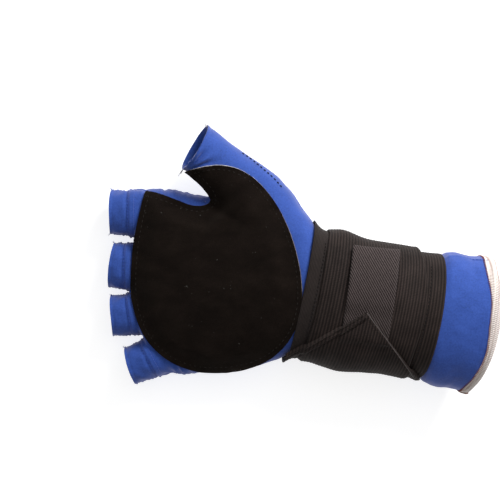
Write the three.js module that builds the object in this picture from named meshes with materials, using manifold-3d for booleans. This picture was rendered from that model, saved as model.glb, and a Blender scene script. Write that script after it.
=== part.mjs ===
// A half-finger work glove for the right hand, with a padded suede palm and an elastic wrist wrap.
// It lies on its back, filled out as a hand fills it: +X points up the forearm, +Y to the thumb and
// +Z out of the palm. The origin is under the middle of the palm, on the surface the glove lies on.
// Everything is in millimetres.
import * as THREE from "three";
import { mergeVertices } from "three/addons/utils/BufferGeometryUtils.js";
import Module from "manifold-3d";

const wasm = await Module();
wasm.setup();

// ---- Driving dimensions ----
const LINER = 1.2; // stretch fabric of the hand, fingers and cuff
const ELASTIC = 1.6; // ribbed elastic of the wrist wrap
const BINDING = 0.8; // woven tape on the wrap's hand edge
const SUEDE = 1.2;
const PAD = 3.2; // impact pad between the suede and the liner
const HOOK = 0.8; // hook tape under the tab
const TAB = 1.0; // webbing of the tab
const GAP = 0.4; // between touching layers, and between pieces that meet
const WRAP_START = 47; // where the wrap begins, along the forearm
const TURN_START = 54.5; // the second turn leaves the first one's edges showing
const TURN_END = 106;
const WRAP_END = 117.5;
const LINER_JOIN = TURN_START; // hidden under the wrap, where the cuff is sewn to the hand
const CUFF_END = 140;
const HEM = 6.5; // width of the cuff's white band
const KNUCKLE_END = -43; // end of the palm between the fingers
const THUMB_RISE = 12; // degrees that the thumb stands up from the palm
const FAR = 200; // longer than the glove, for cutting tools
const OVERHEAD = 70; // higher than the glove, for the same
const THROUGH = 1; // how far a cutting tool passes the end of its piece
const WELD = 1e-4; // points nearer than this are one point

// ---- Layers, each [inner, outer] as a distance out from the hand ----
const onTop = (layer, thickness) => [layer[1] + GAP, layer[1] + GAP + thickness];
const liner = [0, LINER];
const suede = onTop(liner, SUEDE);
const pad = onTop(liner, PAD);
const padCover = onTop(pad, SUEDE);
const baseElastic = onTop(liner, ELASTIC);
const edgeTape = onTop(baseElastic, BINDING);
const secondTurn = onTop(baseElastic, ELASTIC);
const strap = onTop(secondTurn, ELASTIC);
const hook = onTop(secondTurn, HOOK);
const tab = onTop(hook, TAB);
const strapOverTab = onTop(onTop(secondTurn, TAB), ELASTIC);
const HEM_SWELL = 0.4; // the hem is thicker than the liner, on both faces
const hem = [-HEM_SWELL, LINER + HEM_SWELL];

// The height of the hand's own underside: what is wrapped round it lies under it.
const REST_HAND = liner[1];
const REST_WRAP = strap[1];
const REST_CUFF = hem[1];
const HEEL = 24; // from here towards the wrap, the back of the hand rises
const CUFF_FLAT = 4; // length of the cuff's end that lies flat
const THUMB_LIFT = 1.5;
const { smoothstep } = THREE.MathUtils;
const armRest = (at) => REST_HAND
  + (REST_WRAP - REST_HAND) * smoothstep(at, HEEL, WRAP_START)
  - (REST_WRAP - REST_CUFF) * smoothstep(at, WRAP_END, CUFF_END - CUFF_FLAT);
const thumbRest = () => REST_HAND + THUMB_LIFT;
const noRest = () => -FAR;

const radians = THREE.MathUtils.degToRad;

// ---- The hand's shape ----
// A track is a row of cross-sections. Each is a superellipse: its centre, the heading and rise of the
// track's direction in degrees, and its half-width, half-height and squareness. No point of it is
// below the height that the track rests at.
const KEYS = ["x", "y", "z", "heading", "rise", "halfWidth", "halfHeight", "squareness"];

function track(rest, stations) {
  const values = stations.flatMap(([, ...rest]) => rest);
  const curve = new THREE.CubicInterpolant(stations.map(([at]) => at), values, KEYS.length);
  return (at) => {
    const found = curve.evaluate(at);
    return { rest: rest(at), ...Object.fromEntries(KEYS.map((key, i) => [key, found[i]])) };
  };
}

// From the knuckles to the end of the cuff. Each row starts with its place along the forearm.
const arm = track(armRest, [
  [-43, -43, 1.7, 13.2, 0, 0, 46.6, 11.8, 3.0],
  [-30, -30, 0.6, 14.2, 0, 0, 48.6, 13.2, 3.0],
  [-19, -19, -0.2, 14.8, 0, 0, 48.8, 14.0, 3.0],
  [-8, -8, -3.4, 15.4, 0, 0, 46.8, 14.8, 3.0],
  [14, 14, -4.0, 16.8, -2, 0, 46.0, 16.4, 2.8],
  [30, 30, -2.4, 19.4, -6, 0, 43.2, 17.8, 2.6],
  [39, 39, -2.6, 21.8, -9, -2, 41.0, 18.4, 2.4],
  [47, 47, -4.6, 24.2, -11.5, -3, 34.0, 18.8, 2.3],
  [62, 62, -8.0, 26.2, -11.5, -5, 32.8, 20.0, 2.2],
  [85, 85, -12.8, 27.0, -11.5, -8, 32.2, 20.6, 2.2],
  [105, 105, -17.2, 27.4, -11, -8, 31.2, 21.4, 2.1],
  [119, 119, -20.2, 27.4, -10, -9, 31.0, 22.4, 2.1],
  [130, 130, -22.2, 27.0, -10, -11, 35.0, 25.0, 2.1],
  [140, 140, -23.7, 27.2, -10, -12.5, 36.0, 26.4, 2.1],
  [148, 148, -25.1, 27.4, -10, -11, 36.2, 26.6, 2.1],
]);
// Where every loft along the arm has a cross-section, so that its layers stay parallel.
const ARM_ROWS = [-43, -30, -19, -8, 8, 22, 31, 39, WRAP_START, TURN_START, 66, 79, 92, TURN_END,
  WRAP_END, 128, CUFF_END, CUFF_END + HEM];

// The thumb, from inside the palm to where its sleeve starts and ends.
const THUMB_BASE = 34;
const THUMB_TIP = 62;
const thumb = track(thumbRest, [
  [0, 34.0, 25.0, 17.5, 136, 0, 18.6, 15.5, 2.2],
  [18, 21.0, 41.0, 19.0, 133, 5, 16.4, 14.6, 2.2],
  [THUMB_BASE, 9.8, 54.3, 22.5, 131.4, THUMB_RISE, 13.4, 13.2, 2.2],
  [THUMB_TIP, -11.0, 72.9, 28.5, 149.7, THUMB_RISE, 11.9, 11.8, 2.2],
]);
const THUMB_ROWS = [0, 9, 18, 26, THUMB_BASE, 43, 53, THUMB_TIP];

// A finger runs from inside the palm (0) to where its sleeve starts (1) and ends (2).
const FINGER_ROWS = [0, 0.5, 1, 1.5, 2];
const ROOT = 24; // how far a finger starts inside the palm
function finger(name, base, tip) {
  const turn = radians(base.heading);
  const line = track(noRest, [
    [0, base.x - ROOT * Math.cos(turn), base.y - ROOT * Math.sin(turn), 14.2, base.heading, 0,
      base.halfWidth, 11.2, 2.4],
    [1, base.x, base.y, 13.8, base.heading, 0, base.halfWidth, 10.6, 2.4],
    [2, tip.x, tip.y, 13.4, tip.heading, 0, tip.halfWidth, 9.8, 2.2],
  ]);
  return { name, base, line };
}
const fingers = [
  finger("index", { x: -46.3, y: 37.0, heading: 180, halfWidth: 11.4 },
    { x: -58.6, y: 37.8, heading: 177.3, halfWidth: 10.6 }),
  finger("middle", { x: -48.3, y: 7.3, heading: 180, halfWidth: 11.4 },
    { x: -58.5, y: 8.3, heading: 171.5, halfWidth: 10.7 }),
  finger("ring", { x: -46.0, y: -18.9, heading: 190, halfWidth: 10.2 },
    { x: -57.2, y: -19.6, heading: 182.3, halfWidth: 9.6 }),
  finger("little", { x: -35.6, y: -43.2, heading: 207, halfWidth: 9.6 },
    { x: -47.1, y: -47.3, heading: 194.3, halfWidth: 9.0 }),
];

// ---- Solids ----
function solid(geometry) {
  const bare = new THREE.BufferGeometry();
  bare.setAttribute("position", geometry.attributes.position);
  bare.setIndex(geometry.index);
  const merged = mergeVertices(bare, WELD);
  const triVerts = new Uint32Array(merged.index.array);
  const vertProperties = merged.attributes.position.array;
  const made = new wasm.Manifold(new wasm.Mesh({ numProp: 3, vertProperties, triVerts }));
  if (made.volume() > 0) return made;
  for (let i = 0; i < triVerts.length; i += 3) {
    [triVerts[i + 1], triVerts[i + 2]] = [triVerts[i + 2], triVerts[i + 1]];
  }
  return new wasm.Manifold(new wasm.Mesh({ numProp: 3, vertProperties, triVerts }));
}

const power = (value, squareness) => Math.sign(value) * Math.abs(value) ** (2 / squareness);

// The directions of a section: along its track, across it, and up.
function directions(s) {
  const h = radians(s.heading);
  const r = radians(s.rise);
  const along = new THREE.Vector3(
    Math.cos(h) * Math.cos(r), Math.sin(h) * Math.cos(r), Math.sin(r));
  const across = new THREE.Vector3(-Math.sin(h), Math.cos(h), 0);
  return { along, across, up: along.clone().cross(across) };
}

function rim(s, angle, reach, offset) {
  const { across, up } = directions(s);
  const p = new THREE.Vector3(s.x, s.y, s.z);
  p.addScaledVector(across, reach * (s.halfWidth + offset) * power(Math.cos(angle), s.squareness));
  p.addScaledVector(up, reach * (s.halfHeight + offset) * power(Math.sin(angle), s.squareness));
  return p;
}

// A closed cylinder bent to follow a track, standing out by offset, with its ends moved outwards.
function loft(line, rows, from, to, offset, { around = 32, before = 0, after = 0 } = {}) {
  const places = rows.filter((at) => at >= from && at <= to);
  const last = places.length - 1;
  const geometry = new THREE.CylinderGeometry(1, 1, last, around, last);
  const position = geometry.attributes.position;
  for (let i = 0; i < position.count; i++) {
    const [x, y, z] = [position.getX(i), position.getY(i), position.getZ(i)];
    const row = Math.round(last / 2 - y);
    const s = line(places[row]);
    const p = rim(s, Math.atan2(z, x), Math.hypot(x, z), offset);
    const slide = row === 0 ? -before : row === last ? after : 0;
    p.addScaledVector(directions(s).along, slide);
    position.setXYZ(i, p.x, p.y, Math.max(p.z, s.rest - offset));
  }
  return solid(geometry);
}

// An open tube along a track, one layer thick.
function tube(line, rows, from, to, layer, options) {
  const bore = { ...options, before: THROUGH, after: THROUGH };
  return loft(line, rows, from, to, layer[1], options)
    .subtract(loft(line, rows, from, to, layer[0], bore));
}

// A flat outline, seen from above, as a block from one height to another.
function block(outline, low, high, segments = 10) {
  const geometry = new THREE.ExtrudeGeometry(outline, {
    depth: high - low, bevelEnabled: false, curveSegments: segments,
  });
  return solid(geometry.translate(0, 0, low));
}

const polygon = (points) => new THREE.Shape(points.map(([x, y]) => new THREE.Vector2(x, y)));

// The half-space behind a plane: everything that the normal points away from.
function behind(point, normal) {
  const box = new THREE.BoxGeometry(FAR * 2, FAR * 2, FAR * 2).translate(0, 0, -FAR);
  const turn = new THREE.Quaternion().setFromUnitVectors(new THREE.Vector3(0, 0, 1), normal);
  return solid(box.applyQuaternion(turn).translate(point.x, point.y, point.z));
}

// ---- Hand: liner, suede palm and pad ----
// Behind the knuckles of the little finger, the palm's end slants.
const littleBase = fingers[3].base;
const littleWay = new THREE.Vector3(
  Math.cos(radians(littleBase.heading)), Math.sin(radians(littleBase.heading)), 0);
const SLANT_INSET = 3;

// The whole hand, standing out by offset: palm, thumb and the roots of the fingers.
// Its wrist, thumb and finger ends are moved outwards by ends.
function handBody(offset, ends) {
  const slant = new THREE.Vector3(littleBase.x, littleBase.y, 0)
    .addScaledVector(littleWay, offset - SLANT_INSET);
  let body = loft(arm, ARM_ROWS, KNUCKLE_END, LINER_JOIN, offset, { before: offset, after: ends })
    .intersect(behind(slant, littleWay));
  const branch = { around: 20, before: offset, after: ends };
  body = body.add(loft(thumb, THUMB_ROWS, 0, THUMB_BASE, offset, branch));
  for (const { line } of fingers) body = body.add(loft(line, FINGER_ROWS, 0, 1, offset, branch));
  return body;
}

const inside = handBody(liner[0], THROUGH);
const linerBody = handBody(liner[1], 0);
const handShell = linerBody.subtract(inside);

// The seam between the palm and the back of the hand, which climbs towards the thumb.
const SEAM_HEIGHT = 14.5;
const THUMB_SEAM = { from: 36, to: 62, height: 26 };
function belowSeam(drop) {
  const profile = polygon([
    [-FAR, -FAR], [FAR, -FAR], [FAR, THUMB_SEAM.height - drop],
    [THUMB_SEAM.to, THUMB_SEAM.height - drop], [THUMB_SEAM.from, SEAM_HEIGHT - drop],
    [-FAR, SEAM_HEIGHT - drop],
  ]);
  const geometry = new THREE.ExtrudeGeometry(profile, { depth: 2 * FAR, bevelEnabled: false });
  // The profile is drawn in Y and Z, and runs along X.
  geometry.applyMatrix4(new THREE.Matrix4().set(0, 0, 1, -FAR, 1, 0, 0, 0, 0, 1, 0, 0, 0, 0, 0, 1));
  return solid(geometry);
}

// The strips between the fingers, each folded over from the palm to the back.
const WEB = { width: 4.2, pastFork: 9, intoHand: 5 };
const webs = [
  { name: "index_middle_web", x: -44.0, y: 22.2 },
  { name: "middle_ring_web", x: -44.5, y: -6.2 },
  { name: "ring_little_web", x: -36.5, y: -31.6 },
];
const webBlock = ({ x, y }, grow) => {
  const half = WEB.width / 2 + grow;
  const ends = [x - WEB.pastFork, x + WEB.intoHand + grow];
  const corners = [[ends[0], y - half], [ends[1], y - half], [ends[1], y + half], [ends[0], y + half]];
  return block(polygon(corners), -FAR, FAR);
};

// The suede palm: round below, with a corner at the index finger and a lobe over the thumb.
const PALM = { x: 1, y: -3, radius: 47.7 };
function palmOutline() {
  const shape = new THREE.Shape();
  shape.moveTo(-38.4, 48.7);
  shape.bezierCurveTo(-42.5, 33, -46.7, 15, PALM.x - PALM.radius, PALM.y);
  shape.absarc(PALM.x, PALM.y, PALM.radius, Math.PI, 2 * Math.PI, false);
  shape.bezierCurveTo(48.7, 24, 32, 62.8, 3, 62.8);
  shape.bezierCurveTo(-4, 62.8, -9, 61, -14.9, 59.6);
  shape.bezierCurveTo(-8.5, 55, -3.5, 49.5, -1.7, 44.8);
  shape.bezierCurveTo(-6, 38, -16, 43, -38.4, 48.7);
  return shape;
}
// The pad stops short of the suede's stitched margin. scale grows it about the palm's middle.
const PAD_RADIUS = 41.3;
function padOutline(grow) {
  const scale = 1 + grow / PAD_RADIUS;
  const at = (x, y) => [PALM.x + x * scale, PALM.y + y * scale];
  const shape = new THREE.Shape();
  shape.moveTo(...at(-34, 41));
  shape.bezierCurveTo(...at(-37, 28), ...at(-PAD_RADIUS, 14), ...at(-PAD_RADIUS, 0));
  shape.absarc(PALM.x, PALM.y, PAD_RADIUS * scale, Math.PI, 2 * Math.PI, false);
  shape.bezierCurveTo(...at(PAD_RADIUS, 15), ...at(36, 30), ...at(24, 38));
  shape.bezierCurveTo(...at(10, 42), ...at(-16, 33), ...at(-34, 41));
  return shape;
}

const SKIRT = 21; // the height that the suede comes down to at the hand's edge
const LOBE_FLOOR = 24; // and at the thumb's
const PALM_SEGMENTS = 6; // for each curve of the suede's outline
const PAD_SEGMENTS = 5;
const withinLayer = (shape, layer, segments) => block(shape, SKIRT, OVERHEAD, segments)
  .intersect(handBody(layer[1], 0)).subtract(handBody(layer[0], THROUGH));

// Everything that the wrap needs at the heel of the hand, and a clearance round it.
const WRAP_CLEARANCE = 3;
const wrapRoom = loft(arm, ARM_ROWS, WRAP_START, WRAP_END, strap[1] + WRAP_CLEARANCE,
  { before: GAP });

const padSolid = withinLayer(padOutline(0), pad, PAD_SEGMENTS).subtract(wrapRoom);
const padRoom = block(padOutline(GAP), SKIRT - THROUGH, OVERHEAD, PAD_SEGMENTS)
  .intersect(handBody(padCover[0], THROUGH));
const suedePalm = withinLayer(palmOutline(), suede, PALM_SEGMENTS)
  .add(withinLayer(padOutline(GAP + SUEDE), [suede[0], padCover[1]], PAD_SEGMENTS))
  .subtract(padRoom)
  .subtract(loft(thumb, THUMB_ROWS, THUMB_BASE, THUMB_TIP, pad[1], { around: 20 }))
  .subtract(wrapRoom);

// The sleeve of the thumb, and the lobe of the suede that lies on it.
const onThumb = (layer) =>
  tube(thumb, THUMB_ROWS, THUMB_BASE, THUMB_TIP, layer, { around: 20, before: -GAP });
const suedeThumb = onThumb(suede)
  .intersect(block(palmOutline(), LOBE_FLOOR, OVERHEAD, PALM_SEGMENTS));

// ---- Wrist wrap ----
const ring = (from, to, layer, options) => tube(arm, ARM_ROWS, from, to, layer, options);

const STRAP_SPLIT = 27; // height on the little-finger side where the strap's end folds open
const ANCHOR = { x: 85, y: 10, heading: -11.5 }; // the seam at the back, where the strap is sewn down

// The strap narrows to a point on the palm side, seen from above.
const TIP = { x: 80.8, y: -16.3 };
const strapPoint = polygon([[TIP.x, TIP.y], [36, -43.6], [30, -80], [130, -80], [112, -57]]);
const TAB_FOLD = { x: 83, y: -12.2, heading: -8 }; // the line that the tab peels back to

// A level line's point, and the level direction that crosses it.
const pointOf = (seam) => new THREE.Vector3(seam.x, seam.y, 0);
const crossing = (seam) => new THREE.Vector3(
  -Math.sin(radians(seam.heading)), Math.cos(radians(seam.heading)), 0);

const strapRing = ring(WRAP_START, WRAP_END, strap);
const splitBelow = behind(new THREE.Vector3(0, 0, STRAP_SPLIT - GAP), new THREE.Vector3(0, 0, 1));
const strapBack = strapRing.intersect(splitBelow)
  .intersect(behind(pointOf(ANCHOR), crossing(ANCHOR)));

// The tab's corners, seen from above: its free end, and the end sewn under the strap's point.
const TAB_CORNERS = [[74, 18.2], [99.5, 15.9], [93, -30], [67.8, -27.5]];
const TAB_MIDDLE = { x: 83.5, y: -6 };
const tabOutline = (grow) => polygon(TAB_CORNERS.map(([x, y]) =>
  [x + grow * Math.sign(x - TAB_MIDDLE.x), y + grow * Math.sign(y - TAB_MIDDLE.y)]));
const tabBlock = (grow) => block(tabOutline(grow), STRAP_SPLIT, OVERHEAD);
const sewnLayer = onTop(secondTurn, TAB);
const strapUpper = block(strapPoint, STRAP_SPLIT, OVERHEAD);
const strapEnd = strapRing.intersect(strapUpper)
  .add(ring(WRAP_START, WRAP_END, [strap[0], strapOverTab[1]])
    .intersect(strapUpper).intersect(tabBlock(GAP + ELASTIC)))
  .subtract(loft(arm, ARM_ROWS, WRAP_START, WRAP_END, strapOverTab[0],
    { before: THROUGH, after: THROUGH }).intersect(tabBlock(GAP)));

const foldAcross = crossing(TAB_FOLD);
const sewnSide = behind(pointOf(TAB_FOLD).addScaledVector(foldAcross, -GAP), foldAcross);
const freeSide = behind(pointOf(TAB_FOLD), foldAcross.clone().negate());
const HOOK_INSET = 1.2;
const onWrist = (layer, outline) => ring(WRAP_START, WRAP_END, layer).intersect(outline);
const tabRoot = onWrist(sewnLayer, tabBlock(0)).intersect(sewnSide);
const hookTab = onWrist(tab, tabBlock(0)).intersect(freeSide);
const hookTape = onWrist(hook, tabBlock(-HOOK_INSET)).intersect(freeSide);

// ---- Cuff ----
const cuff = ring(LINER_JOIN, CUFF_END, liner, { before: -GAP });
const hemBand = ring(CUFF_END, CUFF_END + HEM, hem, { before: -GAP });

// ---- The glove ----
const looks = {
  liner: { color: 0x2a4bb0, roughness: 0.85 },
  suede: { color: 0x120f0d, roughness: 0.95 },
  pad: { color: 0x50545a, roughness: 0.7 },
  elastic: { color: 0x1f1c1b, roughness: 0.8 },
  webbing: { color: 0x2b2a2c, roughness: 0.75 },
  hook: { color: 0x161616, roughness: 0.6 },
  hem: { color: 0xd9d2ca, roughness: 0.9 },
};
const materials = Object.fromEntries(Object.entries(looks).map(([name, look]) =>
  [name, new THREE.MeshStandardMaterial({ ...look, metalness: 0, name })]));

const glove = new THREE.Group();
function piece(name, shape, material) {
  const { numProp, vertProperties, triVerts } = shape.getMesh();
  const places = new Float32Array((vertProperties.length / numProp) * 3);
  for (let i = 0; i < places.length / 3; i++) {
    places.set(vertProperties.subarray(i * numProp, i * numProp + 3), i * 3);
  }
  const geometry = new THREE.BufferGeometry();
  geometry.setAttribute("position", new THREE.BufferAttribute(places, 3));
  geometry.setIndex(new THREE.BufferAttribute(triVerts, 1));
  geometry.computeVertexNormals();
  const mesh = new THREE.Mesh(geometry, materials[material]);
  mesh.name = name;
  glove.add(mesh);
}

let openShell = handShell;
for (const web of webs) {
  piece(web.name, handShell.intersect(webBlock(web, 0)), "liner");
  openShell = openShell.subtract(webBlock(web, GAP));
}
piece("palm_liner", openShell.subtract(belowSeam(0)), "liner");
piece("back_liner", openShell.intersect(belowSeam(GAP)), "liner");
for (const { name, line } of fingers) {
  piece(`${name}_sleeve`, tube(line, FINGER_ROWS, 1, 2, liner, { around: 20, before: -GAP }), "liner");
}
piece("thumb_sleeve", onThumb(liner), "liner");
piece("suede_palm", suedePalm, "suede");
piece("suede_thumb", suedeThumb, "suede");
piece("palm_pad", padSolid, "pad");
piece("wrist_elastic", ring(WRAP_START, WRAP_END, baseElastic), "elastic");
piece("edge_binding", ring(WRAP_START, TURN_START, edgeTape, { after: -GAP }), "webbing");
piece("second_turn", ring(TURN_START, TURN_END, secondTurn), "elastic");
piece("strap_back", strapBack, "elastic");
piece("strap_end", strapEnd, "elastic");
piece("tab_root", tabRoot, "webbing");
piece("hook_tab", hookTab, "webbing");
piece("hook_tape", hookTape, "hook");
piece("cuff_liner", cuff, "liner");
piece("cuff_hem", hemBand, "hem");

export default glove;
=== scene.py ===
"""A right-hand half-finger work glove: stretch liner, padded suede palm and an elastic wrist wrap.

It lies on its back, filled out as a hand fills it. Lengths below are in millimetres, in the frame
of the CAD model: +X points up the forearm, +Y to the thumb and +Z out of the palm.
"""
import math

import bmesh
import bpy
import numpy as np
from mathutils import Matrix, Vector
from mathutils.bvhtree import BVHTree


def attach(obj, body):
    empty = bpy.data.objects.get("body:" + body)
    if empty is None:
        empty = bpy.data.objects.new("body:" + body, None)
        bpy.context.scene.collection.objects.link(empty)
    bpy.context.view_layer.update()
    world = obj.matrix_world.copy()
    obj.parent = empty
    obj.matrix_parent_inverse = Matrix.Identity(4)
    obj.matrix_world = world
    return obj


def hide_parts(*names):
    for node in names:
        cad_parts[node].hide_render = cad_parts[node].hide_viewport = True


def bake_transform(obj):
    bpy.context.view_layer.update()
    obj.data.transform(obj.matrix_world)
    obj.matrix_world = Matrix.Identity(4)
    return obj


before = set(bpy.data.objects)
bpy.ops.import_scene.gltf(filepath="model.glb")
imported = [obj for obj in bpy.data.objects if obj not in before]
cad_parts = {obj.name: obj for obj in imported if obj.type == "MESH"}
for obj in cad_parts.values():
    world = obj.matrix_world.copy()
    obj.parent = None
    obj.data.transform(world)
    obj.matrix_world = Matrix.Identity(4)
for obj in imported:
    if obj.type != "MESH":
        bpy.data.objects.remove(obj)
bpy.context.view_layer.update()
MM = 0.001

# ---- Driving dimensions, mostly as in the CAD model ----
LINER = 1.2
ELASTIC = 1.6
GAP = 0.4
BASE_TURN = LINER + GAP  # how far each layer's underside stands out from the hand
SECOND_TURN = BASE_TURN + ELASTIC + GAP
STRAP = SECOND_TURN + ELASTIC + GAP
TAPE = STRAP
TAB = TAPE + 0.8 + GAP
TAB_THICK = 1.0
WRAP_START, TURN_START, WRAP_END = 47, 54.5, 117.5
TURN_END = 104  # the second turn's end waves up to 4 past this
CUFF_END, HEM = 140, 6.5
RIB = 1.55  # from rib to rib of the elastic
TIP = (80.8, -16.3)  # the strap's point, seen from above
SHEET = 0.9  # how thick the liner's fabric shows at its open ends
VOXEL = 1.0
SEED = 7
SKY = 150.0  # rays that look for a surface start at this height
RIM_ANGLE = math.radians(65)  # sharper edges than this aren't shaded smooth


# ---- The hand's shape ----
def spline(knots, values):
    """A smooth curve through a row of values at each knot."""
    x, y = np.array(knots, float), np.array(values, float)
    count, step = len(x), np.diff(x)
    matrix, right = np.eye(count), np.zeros_like(y)
    for i in range(1, count - 1):
        matrix[i, i - 1:i + 2] = step[i - 1], 2 * (step[i - 1] + step[i]), step[i]
        right[i] = 6 * ((y[i + 1] - y[i]) / step[i] - (y[i] - y[i - 1]) / step[i - 1])
    bend = np.linalg.solve(matrix, right)

    def at(t):
        t = np.asarray(t, float)
        i = np.clip(np.searchsorted(x, t, "right") - 1, 0, count - 2)
        h = step[i][..., None]
        a, b = (x[i + 1] - t)[..., None] / h, (t - x[i])[..., None] / h
        return (a * y[i] + b * y[i + 1]
                + ((a ** 3 - a) * bend[i] + (b ** 3 - b) * bend[i + 1]) * h ** 2 / 6)

    return at


def smooth(value, low, high):
    t = np.clip((np.asarray(value, float) - low) / (high - low), 0, 1)
    return t * t * (3 - 2 * t)


def bump(value, centre, width):
    return np.exp(-((np.asarray(value, float) - centre) / width) ** 2)


def from_turn(turns, centre):
    """How far round places are from a turn, either way, in degrees."""
    return (turns - centre + 180) % 360 - 180


class Track:
    """A row of superellipse sections: x, y, z, heading, rise, half-width, half-height, squareness."""

    def __init__(self, rest, rows):
        self.rest = rest
        self.rows = spline([row[0] for row in rows], [row[1:] for row in rows])

    def axes(self, at):
        s = self.rows(at)
        h, r = np.radians(s[..., 3]), np.radians(s[..., 4])
        zero = np.zeros_like(h)
        along = np.stack([np.cos(h) * np.cos(r), np.sin(h) * np.cos(r), np.sin(r)], -1)
        across = np.stack([-np.sin(h), np.cos(h), zero], -1)
        return s, along, across, np.cross(along, across)

    def point(self, at, angle, offset=0.0):
        """Angle is in degrees: 0 on the thumb's side, 90 on the palm's. Offset is outwards."""
        at, angle, offset = np.broadcast_arrays(*(np.asarray(v, float) for v in (at, angle, offset)))
        s, along, across, up = self.axes(at)
        c, n = np.radians(angle), s[..., 7]
        reach = (np.abs(np.cos(c)) ** n + np.abs(np.sin(c)) ** n) ** (-1 / n)
        p = (s[..., :3] + across * ((s[..., 5] + offset) * reach * np.cos(c))[..., None]
             + up * ((s[..., 6] + offset) * reach * np.sin(c))[..., None])
        above = p[..., 2] - (self.rest(at) - offset)
        p[..., 2] += (np.sqrt(above ** 2 + SOFT_FLAT ** 2) - above) / 2
        return p

    def normal(self, at, angle, offset=0.0):
        a, b = np.asarray(at, float), np.asarray(angle, float)
        du = self.point(a + 0.2, b, offset) - self.point(a - 0.2, b, offset)
        dv = self.point(a, b + 0.5, offset) - self.point(a, b - 0.5, offset)
        n = np.cross(dv, du)
        return n / np.linalg.norm(n, axis=-1, keepdims=True)

    def locate(self, x, y, offset, start):
        """The at and angle of the points above (x, y) on the palm's side."""
        x, y = (np.asarray(v, float) for v in (x, y))
        at, angle = np.full(x.shape, float(start)) + 0 * y, np.full(x.shape, 90.0) + 0 * y
        at = at + (x - start)
        for _ in range(25):
            p = self.point(at, angle, offset)
            pu = (self.point(at + 0.1, angle, offset) - p) / 0.1
            pv = (self.point(at, angle + 0.2, offset) - p) / 0.2
            ex, ey = x - p[..., 0], y - p[..., 1]
            det = pu[..., 0] * pv[..., 1] - pu[..., 1] * pv[..., 0]
            det = np.where(np.abs(det) < 1e-3, -1e-3, det)
            at = at + np.clip((ex * pv[..., 1] - ey * pv[..., 0]) / det, -6, 6)
            angle = np.clip(angle + np.clip((pu[..., 0] * ey - pu[..., 1] * ex) / det, -12, 12), 4, 176)
        return at, angle


# The height of the hand's own underside, under which its wrappings lie.
SOFT_FLAT = 1.2  # how round the edge of the flat underside is
REST_HAND, REST_WRAP, REST_CUFF = LINER, STRAP + ELASTIC, LINER + GAP
HEEL = 24  # from here towards the wrap, the back of the hand rises
CUFF_FLAT = 4  # length of the cuff's end that lies flat
THUMB_LIFT = 1.5
FAR_BELOW = -200.0


def arm_rest(at):
    return (REST_HAND + (REST_WRAP - REST_HAND) * smooth(at, HEEL, WRAP_START)
            - (REST_WRAP - REST_CUFF) * smooth(at, WRAP_END, CUFF_END - CUFF_FLAT))


def thumb_rest(at):
    return np.full(np.shape(at), REST_HAND + THUMB_LIFT)


def no_rest(at):
    return np.full(np.shape(at), FAR_BELOW)


arm = Track(arm_rest, [
    (-43, -43, 1.7, 13.2, 0, 0, 46.6, 11.8, 3.0),
    (-30, -30, 0.8, 14.2, 0, 0, 48.0, 13.2, 3.0),
    (-19, -19, -0.5, 14.8, 0, 0, 47.5, 14.0, 3.0),
    (-8, -8, -2.2, 15.4, 0, 0, 47.2, 14.8, 3.0),
    (14, 14, -3.4, 16.8, -2, 0, 45.0, 16.4, 2.8),
    (30, 30, -2.4, 19.4, -6, 0, 43.2, 17.8, 2.6),
    (39, 39, -1.8, 21.8, -9, -2, 41.6, 18.4, 2.4),
    (43, 43, -2.6, 23.2, -10.3, -2.5, 39.6, 18.6, 2.35),
    (47, 47, -4.8, 24.2, -11.5, -3, 34.8, 18.8, 2.3),
    (62, 62, -8.1, 26.2, -11.5, -5, 31.7, 20.0, 2.2),
    (73, 73, -11.9, 26.7, -11.5, -6.5, 31.3, 20.2, 2.2),
    (85, 85, -13.8, 27.0, -11.5, -8, 30.4, 20.6, 2.2),
    (105, 105, -16.6, 27.4, -11, -8, 29.9, 21.4, 2.1),
    (119, 119, -19.9, 27.4, -10, -9, 32.0, 22.4, 2.1),
    (130, 130, -22.2, 27.0, -10, -11, 34.8, 25.0, 2.1),
    (140, 140, -23.7, 27.2, -10, -12.5, 36.0, 26.4, 2.1),
    (148, 148, -25.1, 27.4, -10, -11, 36.2, 26.6, 2.1),
])
thumb = Track(thumb_rest, [
    (0, 34.0, 25.0, 17.5, 136, 0, 19.2, 15.5, 2.2),
    (18, 22.2, 42.2, 19.0, 133, 5, 18.2, 14.6, 2.2),
    (34, 10.6, 55.0, 22.5, 133, 12, 14.4, 13.4, 2.2),
    (62, -11.0, 72.9, 28.5, 140, 12, 12.1, 11.8, 2.2),
    (74, -20.3, 80.7, 31.0, 140, 12, 11.6, 11.4, 2.2),
])
THUMB_MOUTH = {"at": (-11.0, 72.9, 28.5), "heading": 149.7, "rise": 12}
BASE_PLANE = {"at": (9.8, 54.3, 22.5), "heading": 131.4, "rise": 12}


ROOT = 24  # how far a finger starts inside the palm


def finger(base, tip):
    """A track from inside the palm (0) to a sleeve's start (1) and its open end (2)."""
    (x, y, heading, half), turn = base, math.radians(base[2])
    return Track(no_rest, [
        (0, x - ROOT * math.cos(turn), y - ROOT * math.sin(turn), 14.2, heading, 0, half, 11.2, 2.4),
        (1, x, y, 13.8, heading, 0, half, 10.6, 2.4),
        (2, tip[0], tip[1], 13.4, tip[2], 0, tip[3], 9.8, 2.2),
    ])


FINGERS = {
    "index": finger((-46.3, 37.0, 180, 11.4), (-58.6, 37.8, 177.3, 10.6)),
    "middle": finger((-48.3, 7.3, 180, 11.4), (-58.5, 8.3, 171.5, 10.7)),
    "ring": finger((-46.0, -18.9, 190, 10.2), (-57.9, -19.9, 182.3, 9.6)),
    "little": finger((-35.6, -43.2, 207, 9.6), (-48.1, -48.0, 196, 9.0)),
}


def direction(heading, rise=0):
    h, r = math.radians(heading), math.radians(rise)
    return Vector((math.cos(h) * math.cos(r), math.sin(h) * math.cos(r), math.sin(r)))


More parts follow.
